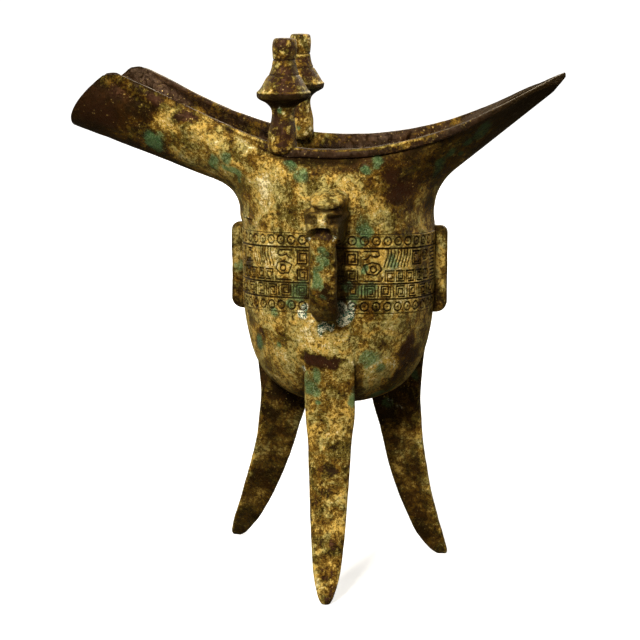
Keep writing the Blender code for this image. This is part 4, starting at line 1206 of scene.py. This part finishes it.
def head_relief(u, z, front):
    """Height, painted shade and wear of the beast's face, by place across and up; front is 1 on its front
    side.
    """
    # Deep line between the crown and the brow, and the crown's edge over it
    groove = np.exp(-((z - 0.1375 + 6.0 * u ** 2) / 0.00072) ** 2) * front
    lift = -0.0017 * groove
    lift += 0.0007 * np.exp(-((z - 0.1389) / 0.0006) ** 2) * front
    for side in (-1.0, 1.0):
        # Eyes: a hollow with a ball in it, under a brow; painted shade in the hollow
        away = np.hypot(u - side * 0.0034, (z - 0.1342) * 1.15)
        hollow = np.exp(-(away / 0.0015) ** 2) * front
        ball = np.exp(-(away / 0.0007) ** 2) * front
        lift += 0.0017 * ball - 0.0021 * hollow
        groove = np.maximum(groove, np.clip(1.4 * (hollow - ball), 0.0, 1.0))
        brow = 0.1359 - 45.0 * (u - side * 0.0031) ** 2
        lift += 0.0007 * np.exp(-((z - brow) / 0.0005) ** 2) * front * (side * u > 0.0006)
        # Ears on the flanks, and nostrils
        lift += 0.0010 * np.exp(-((z - 0.1345) / 0.0015) ** 2) * smoothstep((side * u - 0.0057) / 0.0008)
        nostril = np.hypot(u - side * 0.0010, z - 0.1331)
        lift -= 0.0008 * np.exp(-(nostril / 0.0004) ** 2) * front
    shade = smoothstep((z - 0.1324) / 0.0006) * smoothstep((0.1372 - z) / 0.0006)
    shade *= smoothstep((np.abs(u) - 0.0008) / 0.001)
    nose = np.exp(-(u / 0.0014) ** 2) * smoothstep((0.1362 - z) / 0.0010)
    nose *= smoothstep((z - 0.1322) / 0.0006)
    lift += 0.0006 * nose * front
    # Arched lip, and the mouth under it
    lip_z = 0.1325 - 8.0e6 * u ** 4
    lift += 0.0009 * np.exp(-((z - lip_z) / 0.00045) ** 2) * front
    mouth = smoothstep((lip_z - 0.0006 - z) / 0.0005) * smoothstep((0.0046 - np.abs(u)) / 0.0005) * front
    lift -= 0.0038 * mouth
    flank = smoothstep((np.abs(u) - 0.0050) / 0.0010) * smoothstep((0.1385 - z) / 0.001)
    under = np.exp(-((z - lip_z) / 0.0007) ** 2) * front
    # Painted shade in the line under the crown, the eye hollows and the mouth, over the face, on the flanks
    # and under the lip
    groove = np.maximum.reduce([groove, 0.80 * shade * front, mouth, 0.65 * flank, 0.45 * under])
    wear = 0.15 * np.exp(-((z - lip_z) / 0.00040) ** 2) * front
    return lift, groove, wear


def make_head(material):
    """The beast head that the strap comes out of: domed crown, brows, eyes, ears, nose and an arched lip."""
    root = CUP_RADIUS - WALL * ROOT_IN_WALL
    rows = 170
    columns = 150
    heights = np.linspace(HEAD_PROFILE[0][0], HEAD_PROFILE[-1][0], rows)
    reach, front_half, wall_half = (through(HEAD_PROFILE, k, heights)[:, None] for k in (1, 2, 3))
    turn = np.linspace(0.0, math.pi, columns)[None, :]
    out = np.abs(np.sin(turn)) ** 0.45
    across = np.sign(np.cos(turn)) * np.abs(np.cos(turn)) ** 0.55
    u = across * (wall_half + (front_half - wall_half) * out)
    z = np.broadcast_to(heights[:, None], u.shape)
    shift = HEAD_SHIFT * smoothstep((z - 0.1350) / 0.0030)
    y = -(root + (reach - root) * out)
    grid = np.stack((u + shift, y, z), -1)
    lift, groove, wear = head_relief(u, z, smoothstep((-y - 0.0400) / 0.0050))
    normal = grid_normals(grid, wrap=False)
    normal *= np.sign((normal[:, :, 1] * (y + CUP_RADIUS)).sum())
    grid = grid + normal * (lift + rough_on(grid))[:, :, None]
    grid[:, :, 1] = np.maximum(grid[:, :, 1], 0.0001 - HEAD_REACH)
    points = np.vstack((grid.reshape(-1, 3), grid[0].mean(axis=0), grid[-1].mean(axis=0)))
    faces = closed_faces(rows, columns)
    middle = grid[rows // 2, columns // 2]
    around = np.cross(grid[rows // 2, columns // 2 + 1] - middle, grid[rows // 2 + 1, columns // 2] - middle)
    if around[1] > 0.0:
        faces = [tuple(reversed(face)) for face in faces]
    return make_piece("handle_head", points, faces, material, groove=np.append(groove, (1.0, 0.0)), wear=wear)


# Patina

# Noises: scale, detail, roughness, distortion
NOISES = {
    "broad": (75.0, 4.0, 0.55, 0.4),
    "blotch": (240.0, 9.0, 0.70, 0.5),
    "grain": (760.0, 6.0, 0.72, 0.3),
    "speck": (2200.0, 3.0, 0.65, 0.0),
    "other": (150.0, 8.0, 0.70, 0.8),
    "web": (330.0, 7.0, 0.68, 1.2),
}
FLECK_CELLS = 1500.0
# How much crust lies on the metal: what each noise and each kind of patch adds
CRUST_WEIGHTS = {
    "broad": 0.85, "blotch": 0.50, "grain": 0.85, "speck": 0.50, "gold": 0.11, "dark": -0.22, "red": -0.17,
    # Dirt in grooves and painted shade take crust away, so they darken
    # Wear, and the painted highlight on the lip's top edge, add crust, so they brighten
    "groove": -0.14, "lip": -0.20, "inside": -0.22, "wear": 0.20,
}
# From how much crust on it turns olive, tan and pale
CRUST_STEPS = {"olive": (1.14, 1.22), "tan": (1.28, 1.42), "pale": (1.50, 1.62)}
# How far each part of the patina stands off the metal, in shares of the relief
RELIEF_WEIGHTS = {"tan": 0.35, "olive": 0.35, "pale": 0.25, "grain": 0.9, "speck": 0.40, "vein": -0.35}
RELIEF = 0.00036
METAL_TONES = ((0.018, 0.008, 0.002, 1.0), (0.060, 0.023, 0.004, 1.0))
SMOOTH_TONES = ((0.024, 0.011, 0.006, 1.0), (0.068, 0.040, 0.026, 1.0))
OLIVE_TONES = ((0.112, 0.078, 0.010, 1.0), (0.175, 0.088, 0.008, 1.0))
TAN_TONES = ((0.420, 0.340, 0.100, 1.0), (0.600, 0.380, 0.075, 1.0))
LEAF_TONES = ((0.014, 0.044, 0.014, 1.0), (0.066, 0.165, 0.058, 1.0))
# Teal to cream crust; its cream end also paints the highlights in the beast's mouth
FROST_AND_HIGHLIGHT_TONES = ((0.020, 0.110, 0.070, 1.0), (1.000, 0.940, 0.680, 1.0))
RED_METAL = (0.052, 0.018, 0.010, 1.0)
PALE_CRUST = (0.860, 0.740, 0.400, 1.0)
PALE_LEAF = (0.210, 0.340, 0.170, 1.0)
GOLD_FLECK = (0.640, 0.450, 0.140, 1.0)
BARE_FLECK = (0.030, 0.016, 0.003, 1.0)
VEIN = (0.032, 0.015, 0.002, 1.0)
# Dirt in grooves, and painted shade in hollows, under overhangs and beside joins
DIRT_AND_SHADE = (0.020, 0.011, 0.002, 1.0)
REFLECTION = (1.0, 0.84, 0.58, 1.0)


class Nodes:
    """Short ways to add nodes to a material or world."""

    def __init__(self, owner):
        self.tree = owner.node_tree

    def add(self, kind, **settings):
        node = self.tree.nodes.new(kind)
        for name, value in settings.items():
            setattr(node, name, value)
        return node

    def link(self, source, target):
        self.tree.links.new(source, target)

    def feed(self, socket, value):
        if hasattr(value, "is_output"):
            self.link(value, socket)
        else:
            socket.default_value = value

    def noise(self, vector, scale, detail=6.0, roughness=0.6, distortion=0.0):
        node = self.add("ShaderNodeTexNoise")
        self.link(vector, node.inputs["Vector"])
        node.inputs["Scale"].default_value = scale
        node.inputs["Detail"].default_value = detail
        node.inputs["Roughness"].default_value = roughness
        node.inputs["Distortion"].default_value = distortion
        return node.outputs["Fac"]

    def math(self, operation, a, b=0.0, c=0.0, clamp=False):
        node = self.add("ShaderNodeMath", operation=operation, use_clamp=clamp)
        for socket, value in zip(node.inputs, (a, b, c)):
            self.feed(socket, value)
        return node.outputs["Value"]

    def step(self, value, low, high, first=0.0, last=1.0):
        node = self.add("ShaderNodeMapRange", interpolation_type="SMOOTHSTEP")
        self.feed(node.inputs["Value"], value)
        for name, number in (("From Min", low), ("From Max", high), ("To Min", first), ("To Max", last)):
            node.inputs[name].default_value = number
        return node.outputs["Result"]

    def mix(self, factor, a, b):
        node = self.add("ShaderNodeMix", data_type="RGBA")
        self.feed(node.inputs["Factor"], factor)
        self.feed(node.inputs["A"], a)
        self.feed(node.inputs["B"], b)
        return node.outputs["Result"]

    def tones(self, value, low, high, pair):
        """From one tone to the other as the value goes from low to high."""
        return self.mix(self.step(value, low, high), *pair)

    def cover(self, base, tone, share, strength):
        """A tone over the base, as strong as its share times strength."""
        return self.mix(self.math("MULTIPLY", share, strength), base, tone)

    def total(self, terms):
        """The sum of (value, weight) pairs."""
        (value, weight), *rest = terms
        result = self.math("MULTIPLY", value, weight)
        for value, weight in rest:
            result = self.math("MULTIPLY_ADD", value, weight, result)
        return result

    def split(self, colours):
        """The red, green and blue of a colour output."""
        node = self.add("ShaderNodeSeparateColor")
        self.link(colours, node.inputs["Color"])
        return [node.outputs[name] for name in ("Red", "Green", "Blue")]


def patina_fields(n):
    """What the patina is mixed from, by name: the layers of point colours, the noises and the crust."""
    at = {}
    for layer, kinds in LAYERS.items():
        attribute = n.add("ShaderNodeAttribute", attribute_name=layer)
        at.update(zip(kinds, n.split(attribute.outputs["Color"])))
    place = n.add("ShaderNodeTexCoord").outputs["Object"]
    for name, settings in NOISES.items():
        at[name] = n.noise(place, *settings)
    cell = n.add("ShaderNodeTexVoronoi")
    cell.inputs["Scale"].default_value = FLECK_CELLS
    n.link(place, cell.inputs["Vector"])
    at["gold_chance"], at["bare_chance"], _ = n.split(cell.outputs["Color"])
    at["from_centre"] = cell.outputs["Distance"]
    at["amount"] = n.total((at[name], weight) for name, weight in CRUST_WEIGHTS.items())
    for name, (low, high) in CRUST_STEPS.items():
        at[name] = n.step(at["amount"], low, high)
    return at


def metal_and_crust(n, at):
    """Near-black to red-brown metal, purple-brown on the lip and inside, under olive, tan and pale crust."""
    metal = n.tones(at["other"], 0.42, 0.60, METAL_TONES)
    metal = n.cover(metal, RED_METAL, at["red"], 0.70)
    smooth = n.math("MAXIMUM", n.math("MULTIPLY", at["lip"], 0.75), n.math("MULTIPLY", at["inside"], 0.80))
    metal = n.mix(smooth, metal, n.tones(at["grain"], 0.40, 0.62, SMOOTH_TONES))
    base = n.mix(at["olive"], metal, n.tones(at["other"], 0.40, 0.58, OLIVE_TONES))
    base = n.mix(at["tan"], base, n.tones(at["other"], 0.42, 0.60, TAN_TONES))
    return n.mix(at["pale"], base, PALE_CRUST)


def flecks_and_veins(n, at, base):
    """Small sharp flecks of gold and of bare metal, and thin dark veins where the crust has cracked."""
    gold = n.math("MULTIPLY", n.step(at["gold_chance"], 0.86, 0.90), n.step(at["from_centre"], 0.42, 0.30))
    gold = n.math("MULTIPLY", gold, n.step(at["grain"], 0.46, 0.56))
    base = n.cover(base, GOLD_FLECK, gold, 0.75)
    bare = n.math("MULTIPLY", n.step(at["bare_chance"], 0.80, 0.86), n.step(at["from_centre"], 0.46, 0.32))
    base = n.cover(base, BARE_FLECK, bare, 0.65)
    off = n.math("ABSOLUTE", n.math("SUBTRACT", at["web"], 0.5))
    at["vein"] = n.math("MULTIPLY", n.step(off, 0.030, 0.006), n.step(at["grain"], 0.56, 0.46))
    return n.cover(base, VEIN, at["vein"], 0.80)


def corrosion(n, at, base):
    """Malachite in patches and faintly elsewhere; pale blue-green crust at the strap's foot, and as painted
    highlights in the beast's mouth.
    """
    stain = n.total(((at["other"], 0.65), (at["green"], 0.50), (at["grain"], 0.60)))
    at["malachite"] = n.math("MULTIPLY", n.step(stain, 0.89, 1.13), 0.82)
    leaf = n.tones(at["blotch"], 0.40, 0.56, LEAF_TONES)
    leaf = n.mix(n.step(at["speck"], 0.52, 0.64), leaf, PALE_LEAF)
    base = n.mix(at["malachite"], base, leaf)
    at["bloom"] = n.step(n.total(((at["teal"], 0.80), (at["grain"], 0.75))), 0.80, 1.06)
    flecks = n.total(((at["grain"], 0.55), (at["speck"], 0.45)))
    return n.mix(at["bloom"], base, n.tones(flecks, 0.49, 0.53, FROST_AND_HIGHLIGHT_TONES))


def patina():
    """Old bronze: dark metal under an olive-gold crust, green and pale corrosion, dirt, and painted shade and
    highlights.
    """
    material = bpy.data.materials.new("bronze_patina")
    material.use_nodes = True
    n = Nodes(material)
    shader = material.node_tree.nodes["Principled BSDF"]
    at = patina_fields(n)
    base = corrosion(n, at, flecks_and_veins(n, at, metal_and_crust(n, at)))
    # Dirt in the grooves, and painted shade in hollows, under overhangs and beside joins
    n.link(n.cover(base, DIRT_AND_SHADE, at["groove"], 0.86), shader.inputs["Base Color"])

    # The crust is duller than the metal, and corrosion isn't metallic
    rough = n.step(at["amount"], 1.05, 1.40, 0.36, 0.62)
    rough = n.math("MULTIPLY_ADD", at["speck"], 0.16, n.math("SUBTRACT", rough, 0.08))
    n.link(rough, shader.inputs["Roughness"])
    clean = n.math("SUBTRACT", 1.0, n.math("MAXIMUM", at["malachite"], at["bloom"]))
    metallic = n.math("MULTIPLY", n.step(at["amount"], 1.05, 1.35, 0.45, 0.12), clean)
    n.link(metallic, shader.inputs["Metallic"])
    shader.inputs["Specular IOR Level"].default_value = 0.22
    shader.inputs["Specular Tint"].default_value = REFLECTION

    # The crust stands off the metal; pits and grain on top
    bump = n.add("ShaderNodeBump")
    bump.inputs["Strength"].default_value = 1.0
    bump.inputs["Distance"].default_value = RELIEF
    n.link(n.total((at[name], weight) for name, weight in RELIEF_WEIGHTS.items()), bump.inputs["Height"])
    n.link(bump.outputs["Normal"], shader.inputs["Normal"])
    return material


# Studio

PAPER_TONES = ((0.86, 0.86, 0.86, 1.0), (0.90, 0.90, 0.90, 1.0))
WHITE = (1.0, 1.0, 1.0, 1.0)
# Light from all around, and the same as the camera sees it
SURROUND = (0.075, 0.063, 0.042, 1.0)
SURROUND_SEEN = (1.05, 1.05, 1.05, 1.0)
WARM = (1.0, 0.96, 0.88)
# Soft lights: place, width and height, watts, tone
LIGHTS = {
    "key": ((-0.24, -1.05, 0.92), (0.34, 0.34), 29.5, (1.0, 0.95, 0.85)),
    "fill": ((0.40, -1.20, 0.45), (0.50, 0.50), 2.2, (1.0, 0.94, 0.82)),
    "back": ((0.20, 1.20, 0.75), (0.60, 0.60), 11.5, WARM),
    "left": ((-0.95, 0.90, 0.55), (0.50, 0.50), 4.2, WARM),
    "right": ((0.95, 0.90, 0.55), (0.50, 0.50), 4.2, WARM),
    "top": ((0.00, 0.10, 1.20), (0.60, 0.50), 4.0, WARM),
}
LIGHT_TARGET = (0.0, 0.0, 0.11)
# The photograph's viewpoint: degrees to the right and up, metres away from the point it looks at
CAMERA_AZIMUTH = 7.5
CAMERA_ELEVATION = 10.7
CAMERA_DISTANCE = 0.684
CAMERA_TARGET = (-0.006767, -0.000891, 0.091617)
CAMERA_LENS = 106.875
CAMERA_SENSOR = 36.0


def floor_material():
    """Plain, nearly white paper, evenly bright to the horizon."""
    material = bpy.data.materials.new("floor_paper")
    material.use_nodes = True
    n = Nodes(material)
    shader = material.node_tree.nodes["Principled BSDF"]
    place = n.add("ShaderNodeTexCoord").outputs["Object"]
    fleck = n.noise(place, 40.0, 3.0, 0.5)
    n.link(n.mix(fleck, *PAPER_TONES), shader.inputs["Base Color"])
    shader.inputs["Roughness"].default_value = 0.9
    shader.inputs["Emission Color"].default_value = WHITE
    away = n.add("ShaderNodeVectorMath", operation="LENGTH")
    n.link(place, away.inputs[0])
    n.link(n.step(away.outputs["Value"], 0.10, 1.60, 0.45, 1.05), shader.inputs["Emission Strength"])
    return material


def make_floor():
    """A wide sheet of paper under the vessel."""
    points = [(x, y, 0.0) for y in np.linspace(-4.0, 60.0, 9) for x in np.linspace(-30.0, 30.0, 9)]
    mesh = bpy.data.meshes.new("floor")
    mesh.from_pydata(points, [],
                     [tuple(map(int, face)) for face in grid_faces(9, 9, wrap=False)])
    mesh.shade_smooth()
    mesh.materials.append(floor_material())
    floor = bpy.data.objects.new("floor", mesh)
    bpy.context.scene.collection.objects.link(floor)
    # Only the camera sees the paper, so that the vessel's undersides stay dark
    floor.visible_diffuse = False
    floor.visible_glossy = False


def aim(obj, target):
    """Turns a light or camera to look at a point."""
    direction = Vector(target) - obj.location
    obj.rotation_mode = "QUATERNION"
    obj.rotation_quaternion = direction.to_track_quat("-Z", "Y")


def soft_light(name, place, size, power, tone):
    """A square soft light aimed at the vessel."""
    light = bpy.data.lights.new(name, "AREA")
    light.shape = "RECTANGLE"
    light.size, light.size_y = size
    light.energy = power
    light.color = tone
    lamp = bpy.data.objects.new(name, light)
    bpy.context.scene.collection.objects.link(lamp)
    lamp.location = place
    aim(lamp, LIGHT_TARGET)


def make_lights():
    """The soft lights, and a dim surround that the camera sees as white."""
    for name, settings in LIGHTS.items():
        soft_light(name, *settings)
    world = bpy.data.worlds.new("surround")
    world.use_nodes = True
    bpy.context.scene.world = world
    n = Nodes(world)
    seen = n.add("ShaderNodeLightPath").outputs["Is Camera Ray"]
    n.link(n.mix(seen, SURROUND, SURROUND_SEEN), n.tree.nodes["Background"].inputs["Color"])
    bpy.context.scene.view_settings.view_transform = "Standard"


def make_camera():
    """The photograph's viewpoint: a little to the right and a little above, 0.68 m away."""
    azimuth = math.radians(CAMERA_AZIMUTH)
    elevation = math.radians(CAMERA_ELEVATION)
    target = CAMERA_TARGET + STAND
    back = np.array((math.sin(azimuth) * math.cos(elevation), -math.cos(azimuth) * math.cos(elevation),
                     math.sin(elevation)))
    data = bpy.data.cameras.new("camera")
    data.lens = CAMERA_LENS
    data.sensor_width = CAMERA_SENSOR
    data.clip_start = 0.05
    data.clip_end = 20.0
    camera = bpy.data.objects.new("camera", data)
    bpy.context.scene.collection.objects.link(camera)
    camera.location = target + back * CAMERA_DISTANCE
    aim(camera, target)
    bpy.context.scene.camera = camera


def main():
    """Builds the pieces over the frame, and the studio."""
    make_camera()
    bronze = patina()
    make_flare(bronze)
    make_cup_bottom(bronze)
    lines = band_lines()
    make_band("relief_band_front", -180.0, 0.0, 560, 150, lines, bronze)
    make_band("relief_band_back", 0.0, 180.0, 560, 150, lines, bronze)
    for name, root_angle, foot_angle, foot_reach in LEGS:
        make_leg(name, root_angle, foot_angle, foot_reach, bronze)
    for name, degrees in (("rib_right", 0.0), ("rib_back", 90.0), ("rib_left", 180.0)):
        make_rib(name, degrees, bronze)
    for name, x, y, top, lean, girth in POSTS:
        make_post(name, x, y, top, lean, girth, bronze)
    make_strap(bronze)
    make_head(bronze)
    make_floor()
    make_lights()


main()
